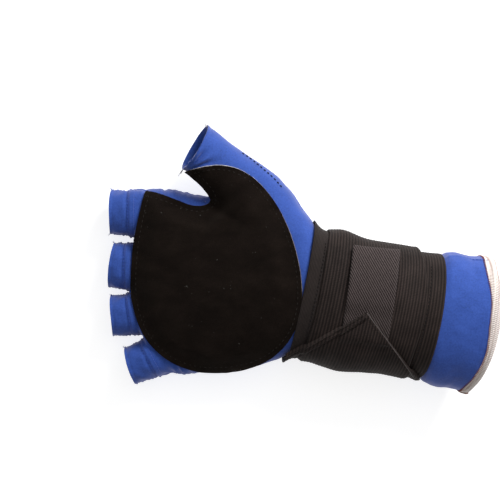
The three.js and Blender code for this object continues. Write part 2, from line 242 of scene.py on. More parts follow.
# ---- Making meshes ----
def make(name, points, faces, material, body=None, uv=None, shade=True):
    """A piece from points in millimetres. uv, a pair for each point, is in millimetres too."""
    mesh = bpy.data.meshes.new(name)
    mesh.from_pydata((np.asarray(points, float).reshape(-1, 3) * MM).tolist(), [], faces)
    if uv is not None:
        layer = mesh.uv_layers.new(name="Weave")
        corners = np.zeros(len(mesh.loops), np.int32)
        mesh.loops.foreach_get("vertex_index", corners)
        layer.data.foreach_set("uv", np.asarray(uv, np.float32).reshape(-1, 2)[corners].ravel())
    mesh.polygons.foreach_set("use_smooth", [shade] * len(mesh.polygons))
    mesh.validate()
    piece = bpy.data.objects.new(name, mesh)
    bpy.context.scene.collection.objects.link(piece)
    for one in material if isinstance(material, (list, tuple)) else [material]:
        if one is not None:
            mesh.materials.append(one)
    if body:
        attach(piece, body)
    return piece


def grid_faces(rows, columns, closed, start=0, flip=False):
    faces = []
    for i in range(rows - 1):
        for j in range(columns if closed else columns - 1):
            k = (j + 1) % columns
            face = (start + i * columns + j, start + i * columns + k,
                    start + (i + 1) * columns + k, start + (i + 1) * columns + j)
            faces.append(face[::-1] if flip else face)
    return faces


def rim_faces(rows, columns, closed, inner):
    """Walls that join an outer grid to the inner one that starts at index inner."""
    loops = []
    if closed:
        loops.append([(j, (j + 1) % columns) for j in range(columns)])
        last = (rows - 1) * columns
        loops.append([(last + (j + 1) % columns, last + j) for j in range(columns)])
    else:
        edge = ([j for j in range(columns)]
                + [i * columns + columns - 1 for i in range(1, rows)]
                + [(rows - 1) * columns + j for j in range(columns - 2, -1, -1)]
                + [i * columns for i in range(rows - 2, 0, -1)])
        loops.append([(edge[i], edge[(i + 1) % len(edge)]) for i in range(len(edge))])
    return [(b, a, a + inner, b + inner) for loop in loops for a, b in loop]


def sheet_solid(name, outer, inner, closed, material, body=None, uv=None):
    """A thick sheet from two matching grids of points: rows, columns, xyz."""
    rows, columns = outer.shape[:2]
    points = np.concatenate([outer.reshape(-1, 3), inner.reshape(-1, 3)])
    faces = (grid_faces(rows, columns, closed)
             + grid_faces(rows, columns, closed, rows * columns, flip=True)
             + rim_faces(rows, columns, closed, rows * columns))
    if uv is not None:
        uv = np.concatenate([uv.reshape(-1, 2)] * 2)
    piece = make(name, points, faces, material, body, uv)
    fix_normals(piece)
    piece.data.set_sharp_from_angle(angle=RIM_ANGLE)
    return piece


def compact(faces):
    """The vertices that some faces use, and the faces with those numbered from 0."""
    index = sorted({v for f in faces for v in f})
    new = {v: i for i, v in enumerate(index)}
    return index, [[new[v] for v in f] for f in faces]


def fix_normals(piece):
    shape = bmesh.new()
    shape.from_mesh(piece.data)
    bmesh.ops.recalc_face_normals(shape, faces=shape.faces)
    shape.to_mesh(piece.data)
    shape.free()


def apply_modifier(piece, kind, **settings):
    """Adds a modifier, and leaves its result in the mesh."""
    added = piece.modifiers.new(kind, kind)
    for key, value in settings.items():
        setattr(added, key, value)
    bpy.context.view_layer.update()
    result = bpy.data.meshes.new_from_object(piece.evaluated_get(bpy.context.evaluated_depsgraph_get()))
    piece.modifiers.clear()
    old, piece.data = piece.data, result
    bpy.data.meshes.remove(old)
    result.polygons.foreach_set("use_smooth", [True] * len(result.polygons))
    return piece


def places(piece):
    co = np.zeros(len(piece.data.vertices) * 3)
    piece.data.vertices.foreach_get("co", co)
    return co.reshape(-1, 3) / MM


def normals(piece):
    no = np.zeros(len(piece.data.vertices) * 3, np.float32)
    piece.data.vertex_normals.foreach_get("vector", no)
    return no.reshape(-1, 3).astype(float)


def put(piece, points):
    piece.data.vertices.foreach_set("co", (points * MM).ravel())
    piece.data.update()


def ripples(points, size, seed=0.0):
    """Soft, repeatable noise from -1 to 1, from waves in many directions."""
    random = np.random.default_rng(SEED + int(seed))
    total = np.zeros(len(points))
    for _ in range(14):
        way = random.normal(size=3)
        way *= random.uniform(0.6, 1.7) / np.linalg.norm(way)
        total += np.sin(points @ way * (2 * math.pi / size) + random.uniform(0, 2 * math.pi))
    return total / 5


# ---- Materials ----
def new_material(name, base, roughness, sheen=0.0, sheen_tint=(1, 1, 1), sheen_roughness=0.5):
    material = bpy.data.materials.new(name)
    material.use_nodes = True
    tree = material.node_tree
    shader = tree.nodes["Principled BSDF"]
    shader.inputs["Base Color"].default_value = (*base, 1)
    shader.inputs["Roughness"].default_value = roughness
    shader.inputs["Specular IOR Level"].default_value = 0.25
    shader.inputs["Sheen Weight"].default_value = sheen
    shader.inputs["Sheen Tint"].default_value = (*sheen_tint, 1)
    shader.inputs["Sheen Roughness"].default_value = sheen_roughness
    return material, tree, shader


class Nodes:
    """Short calls for the nodes of one material."""

    def __init__(self, tree):
        self.tree = tree

    def add(self, kind, **settings):
        node = self.tree.nodes.new(kind)
        for key, value in settings.items():
            if hasattr(node, key):
                setattr(node, key, value)
            else:
                node.inputs[key].default_value = value
        return node

    def link(self, source, target):
        self.tree.links.new(source, target)

    def place(self, scale=1000.0, uv=False, turn=0.0):
        """Coordinates in millimetres, of the object or of its weave."""
        found = self.add("ShaderNodeTexCoord")
        mapping = self.add("ShaderNodeMapping")
        mapping.inputs["Scale"].default_value = (1, 1, 1) if uv else (scale,) * 3
        mapping.inputs["Rotation"].default_value = (0, 0, turn)
        self.link(found.outputs["UV" if uv else "Object"], mapping.inputs["Vector"])
        return mapping.outputs["Vector"]

    def noise(self, place, size, detail=3.0, roughness=0.55, stretch=None):
        if stretch:
            mapping = self.add("ShaderNodeMapping")
            mapping.inputs["Scale"].default_value = stretch
            self.link(place, mapping.inputs["Vector"])
            place = mapping.outputs["Vector"]
        node = self.add("ShaderNodeTexNoise", Scale=1 / size, Detail=detail, Roughness=roughness)
        self.link(place, node.inputs["Vector"])
        return node.outputs["Fac"]

    def wave(self, place, pitch, axis="X", distortion=0.0):
        """Threads that run across an axis, one for each pitch."""
        node = self.add("ShaderNodeTexWave", wave_type="BANDS", bands_direction=axis,
                        Scale=2 * math.pi / (20 * pitch), Distortion=distortion)
        node.inputs["Detail Scale"].default_value = 2.0
        self.link(place, node.inputs["Vector"])
        return node.outputs["Fac"]

    def math(self, operation, a, b):
        node = self.add("ShaderNodeMath", operation=operation)
        for socket, value in zip(node.inputs, (a, b)):
            if isinstance(value, (int, float)):
                socket.default_value = value
            else:
                self.link(value, socket)
        return node.outputs["Value"]

    def ramp(self, factor, stops):
        node = self.add("ShaderNodeValToRGB")
        ramp = node.color_ramp
        for i, (where, colour) in enumerate(stops):
            stop = ramp.elements[i] if i < 2 else ramp.elements.new(where)
            stop.position = where
            stop.color = (*colour, 1)
        self.link(factor, node.inputs["Fac"])
        return node.outputs["Color"]

    def mix(self, factor, a, b, blend="MIX"):
        node = self.add("ShaderNodeMix", data_type="RGBA", blend_type=blend)
        for key, value in ((0, factor), (6, a), (7, b)):
            if isinstance(value, (int, float)):
                node.inputs[key].default_value = value
            elif isinstance(value, tuple):
                node.inputs[key].default_value = (*value, 1)
            else:
                self.link(value, node.inputs[key])
        return node.outputs[2]

    def relief(self, height, depth, strength=1.0, below=None):
        """depth is in millimetres."""
        node = self.add("ShaderNodeBump", Strength=strength, Distance=depth * MM)
        self.link(height, node.inputs["Height"])
        if below is not None:
            self.link(below, node.inputs["Normal"])
        return node.outputs["Normal"]


def knit(name, dark, mid, light, pitch=0.55, sheen=0.35):
    """Fine stretch jersey: columns of loops, a little mottled."""
    material, tree, shader = new_material(name, mid, 0.78, sheen, (0.92, 0.86, 0.95), 0.45)
    n = Nodes(tree)
    here = n.place()
    mottle = n.noise(here, 9, 4, 0.6)
    grain = n.noise(here, 0.9, 2, 0.6)
    shade = n.math("ADD", n.math("MULTIPLY", mottle, 0.35), n.math("MULTIPLY", grain, 0.65))
    colour = n.ramp(shade, [(0.25, dark), (0.5, mid), (0.78, light)])
    n.link(colour, shader.inputs["Base Color"])
    loops = n.math("MULTIPLY", n.wave(here, pitch, "X", 0.6), n.wave(here, pitch * 1.25, "Y", 0.6))
    height = n.math("ADD", loops, n.math("MULTIPLY", grain, 0.8))
    soft = n.relief(n.noise(here, 14, 2, 0.5), 0.9, 0.25)
    n.link(n.relief(height, 0.12, 0.55, soft), shader.inputs["Normal"])
    rough = n.math("ADD", n.math("MULTIPLY", grain, 0.18), 0.68)
    n.link(rough, shader.inputs["Roughness"])
    return material


def suede(name):
    """Napped dark leather, with pale dust and a few brushed patches."""
    material, tree, shader = new_material(name, (0.008, 0.006, 0.005), 0.95, 0.03, (0.75, 0.62, 0.5), 0.6)
    shader.inputs["Specular IOR Level"].default_value = 0.05
    n = Nodes(tree)
    here = n.place()
    nap = n.noise(here, 0.55, 5, 0.75)
    brushed = n.noise(here, 16, 3, 0.6, (1, 1.8, 1))
    shade = n.math("ADD", n.math("MULTIPLY", nap, 0.55), n.math("MULTIPLY", brushed, 0.45))
    colour = n.ramp(shade, [(0.34, (0.0030, 0.0019, 0.0015)), (0.5, (0.0060, 0.0039, 0.0030)),
                            (0.68, (0.0115, 0.0078, 0.0062))])
    dust = n.ramp(n.noise(here, 1.3, 1, 0.4), [(0.75, (0, 0, 0)), (0.79, (1, 1, 1))])
    sparse = n.ramp(n.noise(here, 7, 2, 0.5), [(0.5, (0, 0, 0)), (0.62, (1, 1, 1))])
    speck = n.math("MULTIPLY", dust, sparse)
    n.link(n.mix(n.math("MULTIPLY", speck, 0.5), colour, (0.12, 0.12, 0.11)),
           shader.inputs["Base Color"])
    fine = n.noise(here, 0.3, 3, 0.8)
    soft = n.relief(n.noise(here, 11, 3, 0.55), 1.0, 0.3)
    n.link(n.relief(n.math("ADD", nap, fine), 0.22, 0.8, soft), shader.inputs["Normal"])
    return material


def elastic(name, dark, mid, light, along=0.8, across=RIB, finer=False):
    """Woven elastic, darkened by painted shade in the grooves between its ribs. u runs round the wrist and v
    across the band, in millimetres.
    """
    material, tree, shader = new_material(name, mid, 0.85, 0.04, (0.9, 0.8, 0.74), 0.5)
    shader.inputs["Specular IOR Level"].default_value = 0.12
    n = Nodes(tree)
    weave = n.place(uv=True)
    here = n.place()
    # Bands at the rib pitch, dark where the ribs' grooves lie: painted shade, mixed into the colour below.
    groove_shade = n.wave(weave, across, "Y", 0.15)
    picks = n.wave(weave, along, "X", 0.5)
    fuzz = n.noise(here, 0.5, 3, 0.7)
    shade = n.math("ADD", n.math("MULTIPLY", n.noise(here, 12, 3), 0.35),
                   n.math("ADD", n.math("MULTIPLY", groove_shade, 0.3), n.math("MULTIPLY", fuzz, 0.35)))
    n.link(n.ramp(shade, [(0.25, dark), (0.5, mid), (0.75, light)]), shader.inputs["Base Color"])
    height = n.math("ADD", n.math("MULTIPLY", picks, 0.6), n.math("MULTIPLY", fuzz, 0.7))
    if finer:
        height = n.math("ADD", height, n.wave(weave, across, "Y", 0.1))
    n.link(n.relief(height, 0.16, 0.7), shader.inputs["Normal"])
    n.link(n.math("ADD", n.math("MULTIPLY", fuzz, 0.25), 0.62), shader.inputs["Roughness"])
    return material


def twill(name):
    """Webbing with slanting wales. u runs along the tab and v across it."""
    material, tree, shader = new_material(name, (0.03, 0.027, 0.027), 0.8, 0.04, (0.9, 0.88, 0.85))
    shader.inputs["Specular IOR Level"].default_value = 0.15
    n = Nodes(tree)
    wales = n.wave(n.place(uv=True, turn=math.radians(38)), 1.15, "X", 0.9)
    threads = n.wave(n.place(uv=True), 0.55, "Y", 0.4)
    fuzz = n.noise(n.place(), 0.5, 3, 0.7)
    shade = n.math("ADD", n.math("MULTIPLY", wales, 0.65), n.math("MULTIPLY", fuzz, 0.35))
    n.link(n.ramp(shade, [(0.25, (0.013, 0.0092, 0.0088)), (0.55, (0.040, 0.0298, 0.0290)),
                          (0.85, (0.076, 0.0590, 0.0570))]), shader.inputs["Base Color"])
    height = n.math("ADD", wales, n.math("MULTIPLY", threads, 0.4))
    n.link(n.relief(height, 0.22, 0.9), shader.inputs["Normal"])
    return material


def thread(name, colour, roughness=0.6):
    material, tree, shader = new_material(name, colour, roughness, 0.02)
    shader.inputs["Specular IOR Level"].default_value = 0.1
    n = Nodes(tree)
    twist = n.noise(n.place(), 0.35, 2, 0.6)
    n.link(n.ramp(twist, [(0.3, tuple(c * 0.6 for c in colour)), (0.7, tuple(c * 1.25 for c in colour))]),
           shader.inputs["Base Color"])
    n.link(n.relief(twist, 0.08, 0.7), shader.inputs["Normal"])
    return material


def hook_nap(name):
    """Rows of tiny stiff hooks."""
    material, tree, shader = new_material(name, (0.012, 0.012, 0.012), 0.45)
    n = Nodes(tree)
    weave = n.place(uv=True)
    dots = n.math("MULTIPLY", n.wave(weave, 0.9, "X"), n.wave(weave, 1.1, "Y"))
    n.link(n.ramp(dots, [(0.2, (0.006, 0.006, 0.006)), (0.8, (0.03, 0.03, 0.03))]),
           shader.inputs["Base Color"])
    n.link(n.relief(dots, 0.5, 1.0), shader.inputs["Normal"])
    return material


def foam(name):
    material, tree, shader = new_material(name, (0.08, 0.085, 0.09), 0.8)
    n = Nodes(tree)
    cells = n.noise(n.place(), 0.8, 4, 0.7)
    n.link(n.ramp(cells, [(0.3, (0.05, 0.053, 0.056)), (0.7, (0.11, 0.115, 0.12))]),
           shader.inputs["Base Color"])
    n.link(n.relief(cells, 0.2, 0.8), shader.inputs["Normal"])
    return material


def hem_loops(name):
    """Pale knitted elastic: slanting loops across the band, darker and redder between them."""
    material, tree, shader = new_material(name, (0.7, 0.64, 0.6), 0.85, 0.1, (1, 0.94, 0.9), 0.5)
    shader.inputs["Specular IOR Level"].default_value = 0.15
    n = Nodes(tree)
    loops = n.wave(n.place(uv=True, turn=math.radians(12)), 0.94, "X", 0.8)
    rows = n.wave(n.place(uv=True), 1.5, "Y", 0.5)
    fuzz = n.noise(n.place(), 0.6, 3, 0.7)
    shade = n.math("ADD", n.math("MULTIPLY", loops, 0.55),
                   n.math("ADD", n.math("MULTIPLY", rows, 0.15), n.math("MULTIPLY", fuzz, 0.3)))
    n.link(n.ramp(shade, [(0.2, (0.34, 0.235, 0.20)), (0.42, (0.62, 0.545, 0.505)),
                          (0.7, (0.80, 0.755, 0.72))]), shader.inputs["Base Color"])
    height = n.math("ADD", loops, n.math("MULTIPLY", fuzz, 0.5))
    n.link(n.relief(height, 0.2, 0.9), shader.inputs["Normal"])
    return material


BLUE = knit("liner_knit", (0.013, 0.042, 0.205), (0.0215, 0.064, 0.30), (0.035, 0.088, 0.385))
SUEDE = suede("palm_suede")
# Lit, half-lit and shaded copies of the suede's cut edge: its tan colour is its own, and the change between
# the copies is painted light.
RAW_EDGE_SHADED = thread("raw_edge_shaded", (0.035, 0.026, 0.02), 0.9)
RAW_EDGE_HALF_LIT = thread("raw_edge_half_lit", (0.17, 0.15, 0.14), 0.9)
RAW_EDGE_LIT = thread("raw_edge_lit", (0.45, 0.43, 0.42), 0.9)
RIBBED = elastic("ribbed_elastic", (0.0032, 0.0019, 0.0016), (0.0135, 0.0092, 0.0082),
                 (0.036, 0.0250, 0.0222))
TAPE_EDGE = elastic("edge_tape", (0.0065, 0.0047, 0.0042), (0.017, 0.0125, 0.0115), (0.032, 0.0238, 0.022),
                    0.5, 0.7, finer=True)
TWILL = twill("tab_twill")
HOOKS = hook_nap("hook_tape")
FOAM = foam("pad_foam")
HEM_KNIT = hem_loops("hem_knit")
BLACK_THREAD = thread("black_thread", (0.006, 0.005, 0.005))
BLUE_THREAD = thread("blue_thread", (0.03, 0.07, 0.36))
RUST_THREAD = thread("rust_thread", (0.20, 0.055, 0.045))
PALE_THREAD = thread("pale_thread", (0.35, 0.33, 0.33))
GREY_THREAD = thread("grey_thread", (0.085, 0.075, 0.072))
BROWN_THREAD = thread("brown_thread", (0.022, 0.017, 0.015))
SUEDE_THREAD = thread("suede_thread", (0.020, 0.017, 0.015), 0.8)


# ---- Stitches and threads ----
def resample(path, extra, pitch):
    """Points at an even pitch along a path, with whatever belongs to each point."""
    path, extra = np.asarray(path, float), np.asarray(extra, float)
    reach = np.concatenate([[0], np.cumsum(np.linalg.norm(np.diff(path, axis=0), axis=1))])
    count = max(2, int(round(reach[-1] / pitch)) + 1)
    steps = np.linspace(0, reach[-1], count)
    pick = [np.stack([np.interp(steps, reach, a[:, k]) for k in range(a.shape[1])], -1)
            for a in (path, extra)]
    return pick[0], pick[1] / np.linalg.norm(pick[1], axis=1, keepdims=True)


def tubes(name, lines, radii, material, body=None, sides=6):
    """Round threads: each line is a row of points, each with its own radius."""
    points, faces = [], []
    for line, radius in zip(lines, radii):
        line = np.asarray(line, float)
        way = np.gradient(line, axis=0)
        way /= np.linalg.norm(way, axis=1, keepdims=True) + 1e-9
        help_way = np.where(np.abs(way[:, 2:3]) > 0.9, [[1.0, 0, 0]], [[0, 0, 1.0]])
        side = np.cross(way, help_way)
        side /= np.linalg.norm(side, axis=1, keepdims=True)
        up = np.cross(side, way)
        turn = np.arange(sides) * 2 * math.pi / sides
        ring = (side[:, None] * np.cos(turn)[None, :, None] + up[:, None] * np.sin(turn)[None, :, None])
        start = sum(len(p) for p in points)
        points.append((line[:, None] + ring * np.asarray(radius)[:, None, None]).reshape(-1, 3))
        faces += grid_faces(len(line), sides, True, start)
        faces.append(tuple(start + k for k in range(sides)))
        faces.append(tuple(start + (len(line) - 1) * sides + k for k in reversed(range(sides))))
    piece = make(name, np.concatenate(points), faces, material, body)
    fix_normals(piece)
    return piece


def stitch_lines(path, normal, pitch, length, radius, slant=0.0):
    """Separate stitches along a path, each a short arch whose ends dive into the cloth."""
    at, up = resample(path, normal, pitch)
    way = np.gradient(at, axis=0)
    way /= np.linalg.norm(way, axis=1, keepdims=True)
    side = np.cross(up, way)
    share = np.array([-0.5, -0.38, 0, 0.38, 0.5])
    lines, radii = [], []
    for p, t, n, b in zip(at, way, up, side):
        course = math.cos(slant) * t + math.sin(slant) * b
        arch = radius * (0.9 - 7.0 * share ** 2)
        lines.append(p + course * (share * length)[:, None] + n * arch[:, None])
        radii.append(radius * np.array([0.55, 0.95, 1.0, 0.95, 0.55]))
    return lines, radii


def sew(name, path, normal, pitch, length, radius, material, body=None, slant=0.0):
    lines, radii = stitch_lines(path, normal, pitch, length, radius, slant)
    return tubes(name, lines, radii, material, body)


# ---- The hand: one skin over the palm, the thumb and the fingers' roots ----
def loft_mesh(track, start, end, rows, around, offset):
    """A closed bar along a track."""
    grid = track.point(np.linspace(start, end, rows)[:, None],
                       (np.arange(around) * 360 / around)[None, :], offset)
    points = np.concatenate([grid.reshape(-1, 3), grid[0].mean(0)[None], grid[-1].mean(0)[None]])
    faces = grid_faces(rows, around, True)
    first, last = rows * around, rows * around + 1
    for j in range(around):
        k = (j + 1) % around
        faces.append((first, k, j))
        faces.append((last, (rows - 1) * around + j, (rows - 1) * around + k))
    piece = make("loft", points, faces, None)
    fix_normals(piece)
    return piece


def cut(shape, spot, way, region, clear=True):
    """Cuts a bmesh by a plane, in a region only, and clears what is in front."""
    chosen = [f for f in shape.faces if region(f.calc_center_median() / MM)]
    edges = {e for f in chosen for e in f.edges}
    verts = {v for f in chosen for v in f.verts}
    bmesh.ops.bisect_plane(shape, geom=chosen + list(edges) + list(verts), dist=1e-7,
                           plane_co=Vector(spot) * MM, plane_no=way, clear_outer=clear)


def join(pieces):
    bpy.ops.object.select_all(action="DESELECT")
    for piece in pieces:
        piece.select_set(True)
    bpy.context.view_layer.objects.active = pieces[0]
    bpy.ops.object.join()
    return pieces[0]


def beside(spot, heading, before, aside, rise=0):
    """A test for points past a plane, and near a finger's own line."""
    way, spot = direction(heading, rise), Vector(spot)
    flat = Vector((way.x, way.y, 0)).normalized()
    across = Vector((-flat.y, flat.x, 0))

    def test(p):
        gap = p - spot
        return gap.dot(way) > before and abs(gap.dot(across)) < aside

    return test


SLANT = {"at": (-32.9, -41.8, 0), "heading": 207}  # the palm's end, behind the little finger
CREEP = 0.3  # what smoothing takes off the skin
THENAR_END = (48.0, 39.0, 22.0)  # where the ball of the thumb runs out into the wrist
THENAR_REACH = 24
LOBE_TIP = np.array([-14.5, 60.2])
SEAM_HEIGHT = 14.5  # of the seam between the palm and the back of the hand


def hand_skin():
    out = LINER + CREEP
    palm = loft_mesh(arm, -43 - LINER, 66, rows=70, around=120, offset=out)
    shape = bmesh.new()
    shape.from_mesh(palm.data)
    way = direction(SLANT["heading"])
    found = bmesh.ops.bisect_plane(shape, geom=shape.verts[:] + shape.edges[:] + shape.faces[:],
                                   plane_co=(Vector(SLANT["at"]) + way * out) * MM, plane_no=way,
                                   clear_outer=True)
    bmesh.ops.holes_fill(shape, edges=[e for e in found["geom_cut"] if isinstance(e, bmesh.types.BMEdge)])
    shape.to_mesh(palm.data)
    shape.free()
    parts = [palm, loft_mesh(thumb, 0, 74, rows=46, around=64, offset=out)]
    parts += [loft_mesh(line, 0, 1.7, rows=24, around=48, offset=out) for line in FINGERS.values()]
    skin = join(parts)
    apply_modifier(skin, "REMESH", mode="VOXEL", voxel_size=VOXEL * MM)
    apply_modifier(skin, "SMOOTH", factor=0.5, iterations=14)
    group = skin.vertex_groups.new(name="heel")
    corner = np.linalg.norm(places(skin) - THENAR_END, axis=1)
    for number in np.flatnonzero(corner < THENAR_REACH).tolist():
        weight = 1 - smooth(corner[number], THENAR_REACH / 2, THENAR_REACH)
        group.add([number], float(weight), "REPLACE")
    apply_modifier(skin, "SMOOTH", factor=1.0, iterations=120, vertex_group="heel")
    p, n = places(skin), normals(skin)
    put(skin, p + n * hand_folds(p, n)[:, None])
    return skin


def hand_folds(p, n):
    """How far the skin stands in or out of its smooth shape."""
    x, y, z = p.T
    side = 1 - smooth(np.abs(n[:, 2]), 0.35, 0.8)
    swell = 0.22 * ripples(p, 21)
    # The seam between palm and back, which ends in gathers beside the index finger.
    seam_height = SEAM_HEIGHT + 10 * smooth(x, 30, 62)
    on_thumb = smooth(y, 50, 54) * (x < 40)
    ridge = 0.45 * bump(z, seam_height, 1.1) - 0.25 * bump(z, seam_height + 2.2, 0.8)
    seam = side * (1 - on_thumb) * ridge
    gathers = (side + 0.35 * smooth(z, 12, 24)) * smooth(y, 39, 45) * (1 - smooth(x, -14, -6))
    gather_waves = gathers * 0.42 * ripples(p * [1, 0.25, 0.3], 4.6, 3)
    crease = -0.8 * smooth(y, 42, 46) * bump(x, -28.5, 0.9) * (1 - smooth(x, -14, -6))
    # Folds that spread from the thumb's lower corner.
    away = p[:, :2] - LOBE_TIP
    reach = np.hypot(*away.T)
    turn = np.degrees(np.arctan2(away[:, 1], away[:, 0]))
    fan = bump(reach, 8.5, 5.5) * smooth(turn, -12, 6) * (1 - smooth(turn, 66, 92)) * smooth(z, 24, 30)
    folds = fan * 1.4 * np.cos(np.radians((turn - 30) * 360 / 27))
    # Slack where the thumb meets the palm, and where the fingers part.
    slack = 0.5 * ripples(p * [1, 1, 0.4], 9, 5) * bump(np.hypot(x + 3, y - 47), 0, 9)
    web = 0.35 * ripples(p * [0.5, 1, 1], 5, 9) * (1 - smooth(x, -44, -37)) * smooth(-n[:, 0], 0.2, 0.6)
    bulge = 2.3 * bump(x, -18.5, 8) * smooth(-y, 38, 46) * smooth(-n[:, 1], 0.1, 0.8)
    bulge += 0.35 * bulge * np.cos((x + 0.8 * z) * 2 * math.pi / 5.5)
    mouth = (p - THUMB_MOUTH["at"]) @ np.array(direction(THUMB_MOUTH["heading"], THUMB_MOUTH["rise"]))
    hem = on_thumb * (0.35 * bump(mouth, 0, 1.1) - 0.15 * bump(mouth, -2.4, 0.7))
    return swell + seam + gather_waves + crease + folds + slack + web + bulge + hem


def open_hand(skin):
    """Cuts the skin's ends off, and parts the thumb's sleeve from the rest."""
    shape = bmesh.new()
    shape.from_mesh(skin.data)
    for line in FINGERS.values():
        s = line.rows(np.array(1.0))
        spot, heading = (s[0], s[1], s[2]), s[3]
        cut(shape, spot, direction(heading), beside(spot, heading, -3, s[5] + 3.2))
    mouth, way = THUMB_MOUTH["at"], direction(THUMB_MOUTH["heading"], THUMB_MOUTH["rise"])
    cut(shape, mouth, way, beside(mouth, THUMB_MOUTH["heading"], -4, 24, THUMB_MOUTH["rise"]))
    cut(shape, (60, -8, 0), Vector((1, -0.2, 0)).normalized(), lambda p: p.x > 45)
    base, heading, rise = BASE_PLANE["at"], BASE_PLANE["heading"], BASE_PLANE["rise"]
    near = beside(base, heading, -4, 17.5, rise)
    cut(shape, base, direction(heading, rise), near, clear=False)
    past = beside(base, heading, 0, 19, rise)
    other = shape.copy()
    for source, on_sleeve in ((shape, False), (other, True)):
        removed = [f for f in source.faces if past(f.calc_center_median() / MM) != on_sleeve]
        bmesh.ops.delete(source, geom=removed, context="FACES")
    sleeve = bpy.data.objects.new("thumb_sleeve_liner", bpy.data.meshes.new("thumb_sleeve_liner"))
    bpy.context.scene.collection.objects.link(sleeve)
    for piece, source in ((skin, shape), (sleeve, other)):
        source.to_mesh(piece.data)
        source.free()
        piece.data.polygons.foreach_set("use_smooth", [True] * len(piece.data.polygons))
        piece.data.materials.clear()
        piece.data.materials.append(BLUE)
    skin.name = skin.data.name = "hand_liner"
    return skin, sleeve


def surface_of(*pieces):
    """What rays meet, in millimetres."""
    points, faces, start = [], [], 0
    for piece in pieces:
        points.append(places(piece))
        faces += [[v + start for v in f.vertices] for f in piece.data.polygons]
        start += len(points[-1])
    return BVHTree.FromPolygons(np.concatenate(points).tolist(), faces)


skin = hand_skin()
whole_hand = surface_of(skin)
hand_liner, thumb_liner = open_hand(skin)
for piece in (hand_liner, thumb_liner):
    apply_modifier(piece, "SOLIDIFY", thickness=SHEET * MM, offset=-1)
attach(hand_liner, "hand")
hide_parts("palm_liner", "back_liner", "index_middle_web", "middle_ring_web",
            "ring_little_web")


def bend_with_thumb(piece):
    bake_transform(piece)


bend_with_thumb(thumb_liner)
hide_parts("thumb_sleeve")


# ---- Finger sleeves ----
SIDE_SEAMS = (4, 178)  # turns at which a sleeve's seams run


def sleeve_line(line):
    """A sleeve's start on the palm's side, its direction there, and its length."""
    start = line.point(1.0, 90)
    return start, line.axes(np.array(1.0))[1], float(np.linalg.norm(line.point(2.0, 90) - start))


def bend_with_finger(piece, line):
    start, way, _ = sleeve_line(line)
    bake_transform(piece)


def finger_sleeve(name, line):
    """A short sleeve, sewn on at its root, with a raised seam down each side."""
    length = sleeve_line(line)[2]
    rows = np.concatenate([[-0.9, -0.5, 0], np.arange(0.4, length - 0.2, 0.42), [length - 0.12, length]])
    angles = np.arange(0, 360, 3.0)
    far, angle = np.meshgrid(rows, angles, indexing="ij")
    at = 1 + far / length
    seed = len(name)
    seams = sum(bump(from_turn(angle, where), 0, 6.5) for where in SIDE_SEAMS)
    bite = 0.55 + 0.45 * np.sin(far * 2 * math.pi / 1.7 + seed) + 0.3 * np.sin(far * 4.1 + seed)
    lip = 0.5 * (1 - smooth(far, 0.7, 1.6)) - 0.25 * bump(far, 2.2, 0.8)
    mouth = 0.32 * bump(far, length, 0.9) - 0.12 * bump(far, length - 2.2, 0.6)
    flat = line.point(at, angle, LINER).reshape(-1, 3)
    slack = (0.28 * ripples(flat, 9, seed) * smooth(far.ravel(), 0, 3)).reshape(far.shape)
    pucker = 0.25 * seams * ripples(flat * [1, 0.4, 0.4], 3.4, seed + 20).reshape(far.shape)
    offset = LINER + 0.15 + seams * 0.45 * bite + lip + mouth + slack + pucker
    sway = 0.5 * np.sin(np.radians(angle * 2 + 40 * seed)) * smooth(far, length * 0.5, length)
    at = at + sway / length
    uv = np.stack([np.radians(angle) * 10, far], -1)
    piece = sheet_solid(f"{name}_finger_sleeve", line.point(at, angle, offset),
                        line.point(at, angle, offset - SHEET), True, BLUE, uv=uv)
    bend_with_finger(piece, line)
    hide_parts(f"{name}_sleeve")


for finger_name, finger_line in FINGERS.items():
    finger_sleeve(finger_name, finger_line)


# ---- The suede palm ----
def bezier(*p):
    """A cubic curve from p[0] to p[3], without its last point."""
    t = np.linspace(0, 1, 60, endpoint=False)[:, None]
    p = np.array(p, float)
    return (1 - t) ** 3 * p[0] + 3 * (1 - t) ** 2 * t * p[1] + 3 * (1 - t) * t ** 2 * p[2] + t ** 3 * p[3]


PALM_OUTLINE = np.concatenate([
    bezier((-38.5, 48.6), (-42.5, 35), (-46.1, 16), (-46.1, -1)),
    bezier((-46.1, -1), (-46.2, -31), (-29, -50.4), (-1, -50.5)),
    bezier((-1, -50.5), (28, -50.5), (46.6, -35), (47.1, -8)),
    bezier((47.1, -8), (47.4, 24), (27.5, 61.8), (3.5, 62.2)),
    bezier((3.5, 62.4), (-5, 62.6), (-9.5, 60.4), (-15.9, 59.8)),
    bezier((-15.9, 59.8), (-12, 56.5), (-3.5, 50.5), (-1.8, 44.4)),
    bezier((-1.8, 44.4), (-2.4, 41.4), (-5, 40.1), (-9, 40)),
    bezier((-9, 40), (-15.5, 39.9), (-24, 46.0), (-38.5, 48.6)),
])


def outline_distance(points, outline):
    """How far inside a closed outline each point is, and the outline's nearest point to it."""
    a, b = outline, np.roll(outline, -1, 0)
    side = b - a
    rel = points[:, None] - a[None]
    t = np.clip((rel * side).sum(-1) / ((side ** 2).sum(-1) + 1e-12), 0, 1)
    near = a + side * t[..., None]
    gap = np.linalg.norm(points[:, None] - near, axis=-1)
    best = gap.argmin(1)
    pick = np.arange(len(points))
    y = points[:, 1][:, None]
    crossing = a[:, 0] + side[:, 0] * (y - a[:, 1]) / np.where(side[:, 1] == 0, 1e-9, side[:, 1])
    hits = ((a[:, 1] > y) != (b[:, 1] > y)) & (points[:, 0][:, None] < crossing)
    inside = hits.sum(1) % 2 == 1
    return np.where(inside, 1, -1) * gap[pick, best], near[pick, best]


